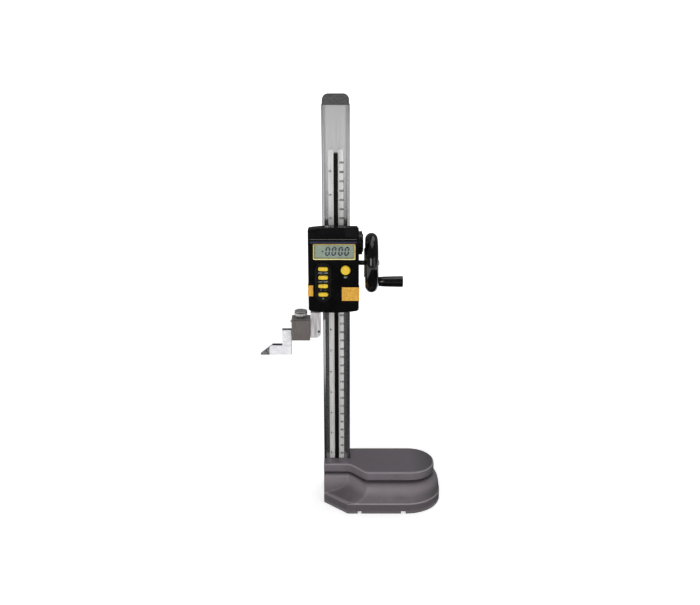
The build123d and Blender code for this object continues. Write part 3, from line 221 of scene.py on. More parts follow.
def tint(material, value, second, start=0.35, end=0.65):
    """Mixes the colour so far with a second one: none of it at start, all of it at end."""
    tree = material.node_tree
    socket = tree.nodes["Principled BSDF"].inputs["Base Color"]
    mix = tree.nodes.new("ShaderNodeMix")
    mix.data_type = "RGBA"
    tree.links.new(rescale(material, value, 0, 1, start, end), mix.inputs[0])
    if socket.links:
        tree.links.new(socket.links[0].from_socket, mix.inputs[6])
    else:
        mix.inputs[6].default_value = socket.default_value
    mix.inputs[7].default_value = (*second, 1)
    tree.links.new(mix.outputs[2], socket)


def soften(material, radius):
    """Rounds the edges in the shading, as thick paint does, over a radius in metres."""
    tree = material.node_tree
    rounding = tree.nodes.new("ShaderNodeBevel")
    rounding.samples = 6
    rounding.inputs["Radius"].default_value = radius
    for socket in ("Normal", "Coat Normal"):
        tree.links.new(rounding.outputs["Normal"], tree.nodes["Principled BSDF"].inputs[socket])


def relief(material, value, depth):
    """Adds a fine relief of the given depth in metres, over any relief already there."""
    tree = material.node_tree
    socket = tree.nodes["Principled BSDF"].inputs["Normal"]
    bump = tree.nodes.new("ShaderNodeBump")
    bump.inputs["Distance"].default_value = depth
    if socket.links:
        tree.links.new(socket.links[0].from_socket, bump.inputs["Normal"])
    tree.links.new(value, bump.inputs["Height"])
    tree.links.new(bump.outputs["Normal"], socket)


def along(material, axis):
    """The X, Y or Z of Object coordinates, in metres."""
    tree = material.node_tree
    where = tree.nodes.new("ShaderNodeTexCoord")
    split = tree.nodes.new("ShaderNodeSeparateXYZ")
    tree.links.new(where.outputs["Object"], split.inputs["Vector"])
    return split.outputs[axis]


def beyond(material, axis, level, blur):
    """0 before a level on an axis and 1 after it, with a soft step between."""
    return rescale(material, along(material, axis), 0, 1, level - blur, level + blur)


def band(material, axis, level, half, blur):
    """1 within half of a level on an axis, 0 beyond half + blur: |x - level|, rescaled."""
    tree = material.node_tree
    offset = tree.nodes.new("ShaderNodeMath")
    offset.operation = "SUBTRACT"
    offset.inputs[1].default_value = level
    tree.links.new(along(material, axis), offset.inputs[0])
    distance = tree.nodes.new("ShaderNodeMath")
    distance.operation = "ABSOLUTE"
    tree.links.new(offset.outputs[0], distance.inputs[0])
    return rescale(material, distance.outputs[0], 1, 0, half, half + blur)


def dress(material, *names):
    """Gives CAD nodes a material in place of their plain one."""
    for name in names:
        mesh = nodes[name].data
        for number in range(len(mesh.materials)):
            mesh.materials[number] = material
        if not mesh.materials:
            mesh.materials.append(material)
    print(material.name, "on", ", ".join(names))


def wear(piece, material):
    """Gives a new piece its material and prints how many faces it has."""
    piece.data.materials.append(material)
    print(piece.name, "has", len(piece.data.polygons), "faces")


print("material builders ready")

# %% [markdown]
# ## Cast base
# The base is grey iron, sprayed with a thick mauve-grey machine enamel. Enamel on a casting keeps a
# slight orange peel and a few low dents of the casting under it. Soft bands by place paint light
# and shade into its colour: a painted highlight on the top face, on the lip's upper edge, on the
# swell of the side and on the ridge above the foot, and painted shade in the groove under the lip,
# on the foot and towards the far right end. A Bevel node rounds the edges in the shading, as the
# thick paint does.

# %% Enamel
enamel = finish("machine_enamel", paint(100, 93, 99), 0.3, coat_weight=0.12, coat_roughness=0.25)
tint(enamel, grain(enamel, 0.018, 5), paint(92, 85, 91))
tint(enamel, grain(enamel, 0.0022, 3), paint(106, 99, 105), 0.5, 0.9)
top_face = base_top - 0.3 * MM
lip_edge = base_top - 0.7 * MM
groove = 35.9 * MM
swell = 29 * MM
foot_edge = 12 * MM
shaded_right_end = 98 * MM
# Painted highlight on the top face, painted shade towards the right end, and a painted highlight on
# the swell.
tint(enamel, beyond(enamel, "Z", top_face, 0.1 * MM), paint(112, 105, 112), 0, 1)
tint(enamel, beyond(enamel, "X", shaded_right_end, 12 * MM), paint(76, 74, 76), 0, 1.15)
tint(enamel, band(enamel, "Z", swell, 2 * MM, 7 * MM), paint(118, 110, 115), 0, 1.5)
# Painted shade on the foot and in the groove, and painted highlights on the ridge above the foot
# and on the lip's upper edge.
tint(enamel, beyond(enamel, "Z", foot_edge, 0.3 * MM), paint(80, 74, 79), 1, 0)
tint(enamel, band(enamel, "Z", foot_edge, 0.3 * MM, 0.8 * MM), paint(138, 130, 134), 0, 1)
tint(enamel, band(enamel, "Z", groove, 0.9 * MM, 1.3 * MM), paint(42, 37, 42), 0, 1)
tint(enamel, band(enamel, "Z", lip_edge, 0.35 * MM, 0.3 * MM), paint(138, 131, 137), 0, 1)
vary_roughness(enamel, grain(enamel, 0.006), 0.38, 0.48)
paint_radius = 2.2 * MM
soften(enamel, paint_radius)
relief(enamel, grain(enamel, 0.0016, 2), 0.000018)
relief(enamel, grain(enamel, 0.0075, 3), 0.00014)
dress(enamel, "base")

# %% [markdown]
# ## Ground steel
# The column is ground along its length on a surface grinder, which leaves fine lines that run the
# whole way up. Noise squeezed across the column and stretched along it makes those lines, in
# roughness and in relief. Two bands by distance from the middle paint a darker reflection into the
# colour: on the face outside its middle, and darker still on the bevels.
# The rack is blued, and the two scale strips are satin chrome.

# %% Column, rack and scales
ground = finish("ground_steel", paint(198, 198, 197), 0.22, 0.97)
tint(ground, grain(ground, (0.0003, 0.0003, 0.12), 3), paint(184, 184, 186))
bright_half = 9.5 * MM
face_half = 13.7 * MM
# Painted darker reflection on the face's outer parts, darker still on the bevels.
tint(ground, band(ground, "X", 0.0, bright_half, 2.5 * MM), paint(160, 160, 161), 1, 0)
tint(ground, band(ground, "X", 0.0, face_half, 0.3 * MM), paint(132, 132, 134), 1, 0)
vary_roughness(ground, grain(ground, (0.00025, 0.00025, 0.05), 4), 0.17, 0.26)
relief(ground, grain(ground, (0.00018, 0.00018, 0.06), 2), 0.000005)
dress(ground, "column")

blued = finish("blued_steel", paint(16, 15, 16), 0.5, 0.3, specular_ior_level=0.3)
tint(blued, grain(blued, 0.004, 4), paint(9, 9, 10))
vary_roughness(blued, grain(blued, 0.001), 0.38, 0.56)
relief(blued, grain(blued, (0.0003, 0.003, 0.0002), 2), 0.00002)
dress(blued, "rack", "gib", "gib_screws", "lock_pad")

satin = finish("satin_chrome", paint(204, 203, 201), 0.45, 0.35)
tint(satin, grain(satin, (0.002, 0.002, 0.04), 3), paint(184, 184, 182))
vary_roughness(satin, grain(satin, (0.0002, 0.0002, 0.01), 3), 0.38, 0.55)
relief(satin, grain(satin, (0.0002, 0.0002, 0.006), 2), 0.00001)
dress(satin, "inch_scale", "mm_scale")

# %% [markdown]
# ## Moulded plastics, wrinkle paint and rubber
# The cap, the head's shell and the hand wheel come out of moulds. The cap's mould is
# spark-eroded, so its skin is dull and finely pebbled. The head and the wheel come
# from polished moulds and stay glossy, with only a slow waviness. The slider's frame
# wears a black wrinkle paint, and the keys and the grips are soft rubber, which takes
# a little light into itself. Cells give the wrinkles and the grips their pebbles.

# %% Plastics
cap_skin = finish("cap_plastic", paint(68, 68, 68), 0.45)
tint(cap_skin, grain(cap_skin, (0.003, 0.003, 0.0015), 4), paint(40, 40, 41))
vary_roughness(cap_skin, grain(cap_skin, 0.0008), 0.42, 0.6)
relief(cap_skin, grain(cap_skin, 0.0005, 3), 0.00006)
dress(cap_skin, "column_cap")

shell = finish("shell_plastic", paint(5, 5, 6), 0.16, specular_ior_level=0.16)
tint(shell, grain(shell, 0.012, 4), paint(9, 9, 10))
vary_roughness(shell, grain(shell, 0.004, 5), 0.12, 0.22)
relief(shell, grain(shell, 0.0011, 2), 0.000004)
dress(shell, "housing")

matt = finish("matt_plastic", paint(8, 8, 9), 0.45, specular_ior_level=0.14)
tint(matt, grain(matt, 0.006, 4), paint(12, 12, 13))
vary_roughness(matt, grain(matt, 0.0015), 0.42, 0.6)
relief(matt, grain(matt, 0.0006, 3), 0.00004)
dress(matt, "back_cover", "key_surround", "battery_door", "lcd_holder", "battery_holder")

wheel_skin = finish("wheel_plastic", paint(5, 5, 6), 0.1, specular_ior_level=0.45)
tint(wheel_skin, grain(wheel_skin, 0.01, 4), paint(9, 9, 10))
vary_roughness(wheel_skin, grain(wheel_skin, 0.003, 5), 0.07, 0.12)
relief(wheel_skin, grain(wheel_skin, 0.006, 2), 0.00002)
dress(wheel_skin, "hand_wheel", "crank_handle", "lock_knob")

wrinkle = finish("wrinkle_paint", paint(20, 20, 21), 0.55)
tint(wrinkle, cells(wrinkle, 0.0011), paint(36, 36, 38), 0.2, 0.7)
vary_roughness(wrinkle, grain(wrinkle, 0.002), 0.45, 0.65)
relief(wrinkle, cells(wrinkle, 0.0009), 0.0001)
dress(wrinkle, "slider_frame")

key_rubber = finish("key_rubber", paint(212, 182, 22), 0.34,
                    subsurface_weight=0.12, subsurface_scale=0.002)
tint(key_rubber, grain(key_rubber, 0.004, 3), paint(202, 166, 16))
vary_roughness(key_rubber, grain(key_rubber, 0.0012), 0.3, 0.44)
relief(key_rubber, grain(key_rubber, 0.0004, 2), 0.000015)
dress(key_rubber, "key_1", "key_2", "key_3", "key_4", "round_key")

grip_rubber = finish("grip_rubber", paint(188, 132, 16), 0.6)
tint(grip_rubber, grain(grip_rubber, 0.005, 4), paint(174, 116, 12))
tint(grip_rubber, cells(grip_rubber, 0.0013), paint(214, 168, 50), 0.3, 0.8)
vary_roughness(grip_rubber, grain(grip_rubber, 0.001), 0.5, 0.72)
relief(grip_rubber, cells(grip_rubber, 0.0007), 0.00012)
dress(grip_rubber, "left_grip", "right_grip")

# %% [markdown]
# ## Metal fittings
# The arm is satin-chromed steel and the clamp is a darker hardened block. The pinion, the collar
# and the pins are turned bright, the thumb screw is knurled, and the other screws and the shaft are
# black oxide. The bushes are sintered bronze, and the display sits in a gilt bezel. Each takes the
# grinding or turning lines of its own making. Bands by height or by width paint shade and
# highlights into some of them: painted shade on the top faces of the scriber, along its riser's
# right edge, just under the clamp's top and along its bottom, on the thumb screw's ring and neck
# and on the bezel's top rail, and painted highlights on the clamp's top edge and on the bezel's
# bottom rail. The clamp is also a little darker and redder to the right of its middle.

# %% Metals
arm_steel = finish("arm_steel", paint(212, 209, 210), 0.38, 0.35)
tint(arm_steel, grain(arm_steel, (0.0016, 0.0016, 0.016), 4), paint(168, 163, 166))
vary_roughness(arm_steel, grain(arm_steel, (0.0003, 0.0003, 0.004), 3), 0.29, 0.42)
relief(arm_steel, grain(arm_steel, (0.0002, 0.0002, 0.006), 2), 0.000012)
dress(arm_steel, "measuring_arm")

scriber_steel = finish("scriber_steel", paint(228, 228, 230), 0.34, 0.15)
tint(scriber_steel, grain(scriber_steel, (0.006, 0.001, 0.002), 4), paint(206, 206, 211))
scriber_low, scriber_high = corners("scriber")
foot_top = scriber_low[2] + 11.1 * MM
riser_right = -48.9 * MM
# Painted shade on the top faces of the foot and the shank, and along the riser's right edge.
for level, tone in ((foot_top, paint(40, 39, 46)), (scriber_high[2], paint(104, 103, 106))):
    tint(scriber_steel, band(scriber_steel, "Z", level, 0.05 * MM, 0.15 * MM), tone, 0, 1)
tint(scriber_steel, band(scriber_steel, "X", riser_right, 0.45 * MM, 0.15 * MM),
     paint(96, 94, 104), 0, 1)
vary_roughness(scriber_steel, grain(scriber_steel, (0.005, 0.0002, 0.0002), 3), 0.29, 0.4)
relief(scriber_steel, grain(scriber_steel, (0.008, 0.00015, 0.00015), 2), 0.00001)
dress(scriber_steel, "scriber")

carbide = finish("sintered_carbide", paint(140, 140, 143), 0.3, 0.35)
tint(carbide, grain(carbide, 0.0022, 4), paint(66, 66, 70), 0.42, 0.58)
vary_roughness(carbide, grain(carbide, 0.0005), 0.29, 0.42)
relief(carbide, grain(carbide, 0.0003, 3), 0.00001)
dress(carbide, "carbide_tip")

clamp_steel = finish("clamp_steel", paint(118, 113, 106), 0.36, 0.45)
tint(clamp_steel, grain(clamp_steel, (0.001, 0.001, 0.008), 4), paint(100, 95, 92))
clamp_low, clamp_high = corners("scriber_clamp")
clamp_middle = -38.4 * MM
clamp_top = clamp_high[2]
under_top = clamp_top - 0.7 * MM
# A little darker and redder to the right of the middle.
tint(clamp_steel, beyond(clamp_steel, "X", clamp_middle, 5 * MM), paint(112, 103, 103), 0, 1.4)
# Painted highlight on the top edge, and painted shade just under it and along the bottom.
tint(clamp_steel, band(clamp_steel, "Z", clamp_top, 0.1 * MM, 0.2 * MM), paint(150, 148, 146), 0, 1)
tint(clamp_steel, band(clamp_steel, "Z", under_top, 0.3 * MM, 0.3 * MM), paint(64, 62, 60), 0, 1)
tint(clamp_steel, band(clamp_steel, "Z", clamp_low[2], 0.5 * MM, 0.5 * MM), paint(70, 66, 62), 0, 1)
vary_roughness(clamp_steel, grain(clamp_steel, (0.003, 0.0003, 0.0003), 3), 0.3, 0.46)
relief(clamp_steel, grain(clamp_steel, (0.005, 0.0002, 0.0002), 2), 0.000015)
dress(clamp_steel, "scriber_clamp", "clamp_pad")

turned_steel = finish("turned_steel", paint(200, 199, 197), 0.22, 1.0)
tint(turned_steel, grain(turned_steel, 0.004, 4), paint(178, 177, 176))
vary_roughness(turned_steel, grain(turned_steel, (0.0002, 0.002, 0.0002), 3), 0.15, 0.26)
relief(turned_steel, grain(turned_steel, (0.00015, 0.002, 0.002), 2), 0.00001)
dress(turned_steel, "drive_pinion", "shaft_collar", "crank_pin", "clamp_pins", "battery_cell")

knurled_steel = finish("knurled_steel", paint(196, 195, 194), 0.3, 0.5)
tint(knurled_steel, grain(knurled_steel, (0.0012, 0.0012, 0.006), 3), paint(150, 149, 148))
thumb_top = corners("thumb_screw")[1][2]
neck_top = thumb_top - 4.4 * MM
ring = thumb_top - 1.1 * MM
# Painted shade on the neck under the head and on a ring near the top.
tint(knurled_steel, beyond(knurled_steel, "Z", neck_top, 0.2 * MM), paint(84, 83, 82), 1, 0)
tint(knurled_steel, band(knurled_steel, "Z", ring, 0.35 * MM, 0.5 * MM), paint(50, 50, 52), 0, 1)
vary_roughness(knurled_steel, grain(knurled_steel, 0.0006), 0.29, 0.42)
relief(knurled_steel, grain(knurled_steel, (0.0003, 0.0003, 0.003), 2), 0.00003)
dress(knurled_steel, "thumb_screw")

dark_screws = finish("oxide_screws", paint(58, 57, 58), 0.34, 0.9)
tint(dark_screws, grain(dark_screws, 0.002, 4), paint(38, 38, 40))
vary_roughness(dark_screws, grain(dark_screws, 0.0006), 0.29, 0.46)
relief(dark_screws, grain(dark_screws, 0.0004, 2), 0.00001)
dress(dark_screws, "column_screws", "arm_screws", "stop_screw", "hub_screw", "cover_screws",
      "head_screws", "board_screws", "drive_shaft")

bronze = finish("sintered_bronze", paint(168, 122, 70), 0.42, 0.9)
tint(bronze, grain(bronze, 0.0008, 4), paint(132, 92, 50))
vary_roughness(bronze, grain(bronze, 0.0006), 0.34, 0.54)
relief(bronze, cells(bronze, 0.0003), 0.00002)
dress(bronze, "right_bush", "left_bush")

gilt = finish("gilt_bezel", paint(228, 204, 122), 0.4, 0.3)
tint(gilt, grain(gilt, 0.003, 4), paint(206, 178, 92))
bezel_low, bezel_high = corners("display_frame")
rail = 1.4 * MM
# Painted shade on the top rail and a painted highlight on the bottom rail.
tint(gilt, beyond(gilt, "Z", bezel_high[2] - rail, 0.3 * MM), paint(168, 140, 66), 0, 1)
tint(gilt, beyond(gilt, "Z", bezel_low[2] + rail, 0.3 * MM), paint(244, 234, 160), 1, 0)
vary_roughness(gilt, grain(gilt, (0.004, 0.0003, 0.0003), 3), 0.29, 0.4)
relief(gilt, grain(gilt, (0.005, 0.0002, 0.0002), 2), 0.00001)
dress(gilt, "display_frame")

# %% [markdown]
# ## Boards and display
# Inside sit two circuit boards in green solder mask, and a liquid-crystal panel. The
# panel's reflector is a dull grey-green. The window over it is clear acrylic, so it
# casts no shadow here, and the light reaches the panel as it does through real acrylic.

# %% Boards, panel and window
mask_green = finish("solder_mask", paint(20, 74, 44), 0.3, coat_weight=0.3)
tint(mask_green, grain(mask_green, (0.0006, 0.004, 0.002), 2), paint(30, 96, 58), 0.5, 0.54)
vary_roughness(mask_green, grain(mask_green, 0.001), 0.29, 0.4)
relief(mask_green, grain(mask_green, (0.0006, 0.004, 0.002), 2), 0.00003)
dress(mask_green, "circuit_board", "reader_board", "key_switches")

reflector = finish("panel_reflector", paint(112, 128, 110), 0.5)
tint(reflector, grain(reflector, 0.02, 3), paint(102, 117, 100))
vary_roughness(reflector, grain(reflector, 0.0006), 0.42, 0.58)
relief(reflector, grain(reflector, 0.00025, 2), 0.000008)
dress(reflector, "lcd_panel")

acrylic = finish("clear_acrylic", (1.0, 1.0, 1.0), 0.03, transmission_weight=1.0, ior=1.3)
vary_roughness(acrylic, grain(acrylic, 0.01, 3), 0.02, 0.06)
relief(acrylic, grain(acrylic, 0.009, 2), 0.000004)
dress(acrylic, "display_window")
nodes["display_window"].visible_shadow = False

# %% [markdown]
# ## Marks on the scales
# The right-hand strip is divided in millimetres with a number every 10 mm, and the
# left-hand one in tenths of an inch. On the real strips the marks are etched and
# filled with dark lacquer. Here each mark is its own thin bar standing a hair above
# the strip, so the divisions are true geometry and stay sharp at any distance.

# %% Lacquer and scale divisions
lacquer = finish("etch_lacquer", paint(30, 30, 32), 0.5)
tint(lacquer, grain(lacquer, 0.002, 3), paint(56, 56, 58), 0.45, 0.8)
vary_roughness(lacquer, grain(lacquer, 0.0006), 0.4, 0.6)
relief(lacquer, grain(lacquer, 0.0003, 2), 0.00001)

mark_front = -0.02 * MM
mark_back = 0.01 * MM
mark_width = 0.22 * MM
edge_gap = 0.15 * MM
end_gap = 0.6 * MM
zero_level = 4.6 * MM
mm_low, mm_high = corners("mm_scale")
inch_low, inch_high = corners("inch_scale")


def divisions(name, start, reach, spacing, low, high):
    """Level bars at zero + n * spacing, from start to start + reach(n), between low and high."""
    first = int(np.ceil((low + end_gap) / spacing))
    last = int(np.floor((high - end_gap) / spacing))
    number = np.arange(first, last + 1)
    level = zero_level + number * spacing
    ends = start + reach(number)
    left, right = np.minimum(start, ends), np.maximum(start, ends)
    lows = np.stack([left, np.full(len(number), mark_front), level - mark_width / 2], 1)
    highs = np.stack([right, np.full(len(number), mark_back), level + mark_width / 2], 1)
    wear(mesh_piece(name, *bars(lows, highs), "stand"), lacquer)


def mm_reach(number):
    """2.4 mm at tens, 1.8 mm at fives, 1.2 mm elsewhere."""
    return np.where(number % 10 == 0, 2.4, np.where(number % 5 == 0, 1.8, 1.2)) * MM


def inch_reach(number):
    """2.6 mm at whole inches, 1.9 mm at halves, 1.2 mm at tenths, towards the left."""
    return -np.where(number % 10 == 0, 2.6, np.where(number % 5 == 0, 1.9, 1.2)) * MM


divisions("mm_divisions", mm_low[0] + edge_gap, mm_reach, 1 * MM, mm_low[2], mm_high[2])
divisions("inch_divisions", inch_high[0] - edge_gap, inch_reach, INCH / 10,
          inch_low[2], inch_high[2])

# %% [markdown]
# ## Numbers
# Numbers could be drawn by hand, but Blender's own text objects already have good
# shapes. Each text becomes a mesh first and then takes its place in the upright plane,
# and all the numbers of a strip are joined into one piece. An offset of the outline
# makes the strokes as heavy as engraved ones.

# %% Text as flat meshes


def letters(text, size, weight):
    """Flat text as arrays: points (x, z) round the origin, and faces that look to -Y."""
    curve = bpy.data.curves.new("text", "FONT")
    curve.body = text
    curve.size = size
    curve.offset = weight
    curve.resolution_u = 2
    curve.align_x = "CENTER"
    curve.align_y = "CENTER"
    holder = bpy.data.objects.new("text", curve)
    mesh = bpy.data.meshes.new_from_object(holder)
    points = np.zeros(len(mesh.vertices) * 3)
    mesh.vertices.foreach_get("co", points)
    faces = [list(face.vertices) for face in mesh.polygons]
    bpy.data.objects.remove(holder)
    bpy.data.curves.remove(curve)
    bpy.data.meshes.remove(mesh)
    return points.reshape(-1, 3)[:, :2], faces


def printed(name, places, size, front, body, material, weight=0.0):
    """Texts given as (text, x, z), each moved by (x, front, z) and joined into one flat piece."""
    points, faces, count = [], [], 0
    for text, x, z in places:
        outline, text_faces = letters(text, size, weight)
        points.append(np.insert(outline + np.array([x, z]), 1, front, axis=1))
        faces += [[index + count for index in face] for face in text_faces]
        count += len(outline)
    wear(mesh_piece(name, np.concatenate(points), faces, body), material)


number_size = 3.3 * MM
number_weight = 0.14 * MM
mm_number_x = mm_high[0] - 2.1 * MM
inch_number_x = inch_low[0] + 1.7 * MM
mm_numbers = [(str(value), mm_number_x, value * MM + zero_level) for value in range(50, 400, 10)]
inch_numbers = [(str(value), inch_number_x, value * INCH + zero_level) for value in range(2, 16)]
for name, places in (("mm_numbers", mm_numbers), ("inch_numbers", inch_numbers)):
    printed(name, places, number_size, mark_front, "stand", lacquer, number_weight)

# %% [markdown]
# ## Digits of the display
# A liquid-crystal digit is seven bars with mitred ends on a slight slant. Each bar is
# a six-cornered outline, so a function lays out the bars that a character needs and
# shears them, and the whole reading becomes one piece just in front of the panel.

# %% Seven-segment reading
panel_low, panel_high = corners("lcd_panel")
digit_ink = finish("crystal_ink", paint(6, 14, 36), 0.45, specular_ior_level=0.2)
tint(digit_ink, grain(digit_ink, 0.003, 3), paint(12, 24, 50))
vary_roughness(digit_ink, grain(digit_ink, 0.0008), 0.3, 0.42)
relief(digit_ink, grain(digit_ink, 0.0004, 2), 0.000005)

SEGMENTS = {"0": "abcdef", "-": "g"}
digit_width = 5.3 * MM
digit_tall = 10.4 * MM
stroke = 1.9 * MM
digit_gap = 0.06 * MM
digit_slant = 0.13
reading_z = (panel_low[2] + panel_high[2]) / 2
ink_front = panel_low[1] - 0.05 * MM
ink_back = panel_low[1] + 0.01 * MM


def segment(start, end):
    """A bar from start to end, both ends mitred at 45 degrees: six corners, counter-clockwise."""
    start, end = np.array(start), np.array(end)
    ahead = (end - start) / np.linalg.norm(end - start)
    across = np.array([-ahead[1], ahead[0]]) * stroke / 2
    inset = ahead * stroke / 2
    first, last = start + ahead * digit_gap, end - ahead * digit_gap
    return np.array([first, first + inset - across, last - inset - across, last,
                     last - inset + across, first + inset + across])


def digit(character, x, share=1.0):
    """The segments of one character: x' = (x + slant * z) * share, then moved to its place."""
    w, h = (digit_width - stroke) / 2, (digit_tall - stroke) / 2
    paths = {"a": ((-w, h), (w, h)), "b": ((w, 0), (w, h)), "c": ((w, -h), (w, 0)),
             "d": ((-w, -h), (w, -h)), "e": ((-w, -h), (-w, 0)), "f": ((-w, 0), (-w, h)),
             "g": ((-w, 0), (w, 0))}
    outlines = np.array([segment(*paths[key]) for key in SEGMENTS[character]])
    outlines[:, :, 0] = (outlines[:, :, 0] + outlines[:, :, 1] * digit_slant) * share
    return outlines + np.array([x, reading_z])


def ink_piece(name, outlines):
    """Outlines of ink just in front of the panel, as one piece."""
    piece = mesh_piece(name, *flat_prisms(outlines, ink_front, ink_back), "slider")
    wear(piece, digit_ink)


zero_places = np.array([-8.6, -1.9, 5.1, 11.7]) * MM
minus_place = -14.0 * MM
minus_share = 0.8
zeros = [digit("0", x) for x in zero_places]
ink_piece("reading", np.concatenate([*zeros, digit("-", minus_place, minus_share)]))

point_radius = 0.5 * MM
point_x = -5.498 * MM
point_z = reading_z - digit_tall / 2 + point_radius
point_turn = np.linspace(0, 2 * np.pi, 16, endpoint=False)
point_ring = np.stack([np.cos(point_turn), np.sin(point_turn)], 1) * point_radius
ink_piece("decimal_point", point_ring[None] + np.array([point_x, point_z]))

# %% [markdown]
# ## Print on the head
# Above the bezel the head's face carries a dark blue band and a thin dim line. Screen
# print is a thin matt ink, so one helper makes the dim ink of the line and the pale
# one that the signs need next. The band's ink is smoother and gets its own values.

# %% Inks and lines on the head's face


def screen_ink(name, colour, second):
    """A matt printing ink whose colour wanders towards a second one."""
    ink = finish(name, colour, 0.5)
    tint(ink, grain(ink, 0.003, 3), second)
    vary_roughness(ink, grain(ink, 0.0006), 0.4, 0.6)
    relief(ink, grain(ink, 0.0003, 2), 0.000008)
    return ink


pale_print = screen_ink("pale_print", paint(176, 184, 176), paint(150, 160, 152))
dim_print = screen_ink("dim_print", paint(74, 80, 72), paint(62, 68, 60))
blue_print = finish("blue_print", paint(14, 28, 66), 0.35)
tint(blue_print, grain(blue_print, 0.004, 3), paint(10, 20, 50))
vary_roughness(blue_print, grain(blue_print, 0.0006), 0.3, 0.42)
relief(blue_print, grain(blue_print, 0.0003, 2), 0.000008)

print_front = head_face - 0.03 * MM
print_back = head_face + 0.02 * MM
print_margin = 2.4 * MM


def print_bar(name, rise, tall, material):
    """A level printed bar across the head's face: from bezel top + rise, and as tall as given."""
    low = [head_low[0] + print_margin, print_front, bezel_high[2] + rise]
    high = [head_high[0] - print_margin, print_back, bezel_high[2] + rise + tall]
    wear(mesh_piece(name, *bars(low, high), "slider"), material)


print_bar("pale_line", 4.55 * MM, 0.6 * MM, dim_print)
print_bar("blue_band", 0.6 * MM, 2 * MM, blue_print)

# %% [markdown]
# ## Signs under the keys
# A small word or sign stands under each key. The signs here are plain ones: on and
# off, units, plus, minus, zero and set. Each takes its place from the box of its key,
# so that it stays under the key wherever that is.

# %% Signs
sign_size = 2.5 * MM
sign_lift = 0.02 * MM
sign_drop = 4.72 * MM
round_sign_drop = 8.2 * MM


def sign_place(text, key, drop):
    """A text below the middle of a key."""
    middle = sum(corners(key)) / 2
    return text, middle[0], middle[2] - drop


signs = {"key_1": "ON / OFF", "key_2": "mm / inch", "key_3": "+     −", "key_4": "0"}
surround_face = corners("key_surround")[0][1]
printed("key_signs", [sign_place(text, key, sign_drop) for key, text in signs.items()],
        sign_size, surround_face - sign_lift, "slider", pale_print)
printed("round_key_sign", [sign_place("SET", "round_key", round_sign_drop)],
        sign_size, head_face - sign_lift, "slider", pale_print)

# %% [markdown]
# ## Studio
# A pale sheet lies flat under the gauge and rises far away on all sides, so that there is no
# horizon from any side. The whole sheet glows, at a little over half strength under the gauge and
# fully far away, like a lit backdrop. Bright steel and gloss black show whatever stands round them.
# A studio therefore lays a white card round such a tool and a black one in front of it. The sheet
# and the white card are profiles turned about the upright axis, and the black card is a plain grid.

# %% Builders for the stage


def grid_faces(rows, columns, wrap_columns=False):
    """Quads between neighbours of a grid: corner (i, j), then (i+1, j), (i+1, j+1), (i, j+1)."""
    i, j = np.arange(rows - 1), np.arange(columns if wrap_columns else columns - 1)
    i, j = (index.ravel() for index in np.meshgrid(i, j, indexing="ij"))
    up, on = i + 1, (j + 1) % columns
    quads = [i * columns + j, up * columns + j, up * columns + on, i * columns + on]
    return np.stack(quads, 1).tolist()


def turned(heights, radii, steps):
    """A profile turned about Z: (r cos a, r sin a, h) for each pair h, r and each angle a."""
    angle = np.linspace(0, 2 * np.pi, steps, endpoint=False)
    height, radius = np.array(heights)[:, None], np.array(radii)[:, None]
    grid = np.stack([radius * np.cos(angle), radius * np.sin(angle), height + 0 * angle], -1)
    return grid, grid_faces(len(height), steps, wrap_columns=True)


def stage_piece(name, points, faces, material):
    """A smooth piece of the stage, which isn't part of the gauge."""
    piece = new_object(name, points, faces)
    piece.data.polygons.foreach_set("use_smooth", np.ones(len(piece.data.polygons), bool))
    piece.data.materials.append(material)
    return piece


def glow(material, strength, start, end):
    """Lets a material shine, from a first strength up to a second between two distances."""
    tree = material.node_tree
    where = tree.nodes.new("ShaderNodeTexCoord")
    far = tree.nodes.new("ShaderNodeVectorMath")
    far.operation = "LENGTH"
    tree.links.new(where.outputs["Object"], far.inputs[0])
    shader = tree.nodes["Principled BSDF"]
    shader.inputs["Emission Color"].default_value = (1, 1, 1, 1)
    tree.links.new(rescale(material, far.outputs["Value"], *strength, start, end),
                   shader.inputs["Emission Strength"])


def reflected_only(piece):
    """Hides a piece from everything but reflections."""
    for flag in ("visible_camera", "visible_diffuse", "visible_shadow", "visible_transmission"):
        setattr(piece, flag, False)


print("stage builders ready")

# %% [markdown]
# ## Sweep and cards
# The sheet is seen but doesn't show in reflections, and both cards show only there. The
# white card shines a little more far away, and the black one fades to white, so that
# the low parts of bright steel turn dark and the rest stays light.

# %% Sweep and reflection cards
sweep_flat = 3.0
sweep_rise = 1.2
flat_rings = 8
paper = finish("paper", paint(244, 244, 244), 0.9)
tint(paper, grain(paper, 0.3, 2), paint(240, 240, 240))
# The sheet glows, faintly under the gauge and fully far away.
glow(paper, strength=(0.55, 1.0), start=0.5, end=1.6)
turn = np.linspace(0.1, np.pi / 2, 14)
rise_radii = sweep_flat + sweep_rise * np.sin(turn)
radii = np.concatenate([np.linspace(0, sweep_flat, flat_rings), rise_radii])
heights = np.concatenate([np.zeros(flat_rings), sweep_rise * (1 - np.cos(turn))])
sweep = stage_piece("sweep", *turned(heights, radii, 96), paper)
sweep.visible_glossy = False

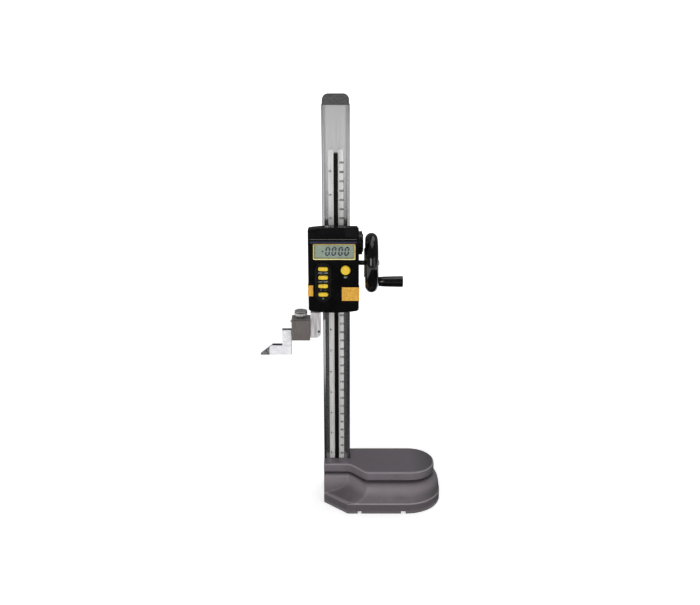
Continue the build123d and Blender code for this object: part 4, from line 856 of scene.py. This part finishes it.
white_level = 1 * MM
white_radii = [0.0, 0.5, 1.0, 1.5, 2.5, 3.6]
white_board = finish("white_board", paint(240, 240, 240), 0.9)
tint(white_board, grain(white_board, 0.1, 2), paint(236, 236, 236))
glow(white_board, strength=(0.75, 1.0), start=0.2, end=1.0)
white_disc = turned([white_level] * len(white_radii), white_radii, 64)
reflected_only(stage_piece("white_card", *white_disc, white_board))

black_level = 3 * MM
card_x = np.array([-0.35, 0.0, 0.5, 1.2])
card_y = np.array([-2.3, -1.5, -0.5, 0.3])
black_board = finish("black_board", (0.004, 0.004, 0.004), 0.9)
tint(black_board, grain(black_board, 0.1, 2), (0.006, 0.006, 0.006))
glow(black_board, strength=(0.02, 1.2), start=1.2, end=2.3)
card_grid = np.stack(np.broadcast_arrays(card_x[:, None], card_y[None], black_level), -1)
card_faces = grid_faces(len(card_x), len(card_y))
reflected_only(stage_piece("black_card", card_grid, card_faces, black_board))

# %% [markdown]
# ## Light
# Four large soft lamps and a dim sky light the gauge: a key from the front left, a
# weaker fill from the front right, a weak one overhead for the edges of the base, and
# a weak one high behind it. A lamp shines along its own -Z, so two angles turn it.

# %% Lamps and sky
gauge_middle = np.array([0.0, 0.0, 0.22])


def lamp(name, place, size, power):
    """A square soft lamp at a place, turned to look at the middle of the gauge."""
    data = bpy.data.lights.new(name, "AREA")
    data.size = size
    data.energy = power
    piece = bpy.data.objects.new(name, data)
    piece.location = place
    away = np.array(place) - gauge_middle
    flat = np.hypot(away[0], away[1])
    piece.rotation_euler = (np.arctan2(flat, away[2]), 0, np.arctan2(away[0], -away[1]))
    bpy.context.scene.collection.objects.link(piece)


lamp("key_lamp", place=(-0.55, -1.75, 0.85), size=0.9, power=12.5)
lamp("fill_lamp", place=(1.2, -1.3, 0.7), size=1.0, power=3.5)
lamp("top_lamp", place=(0.1, 0.1, 1.7), size=0.9, power=4)
lamp("back_lamp", place=(0.6, 1.1, 1.9), size=0.9, power=4)
sky_strength = 0.15
sky = bpy.data.worlds.new("sky")
sky.use_nodes = True
sky.node_tree.nodes["Background"].inputs["Color"].default_value = (1, 1, 1, 1)
sky.node_tree.nodes["Background"].inputs["Strength"].default_value = sky_strength
bpy.context.scene.world = sky
print("studio lit")
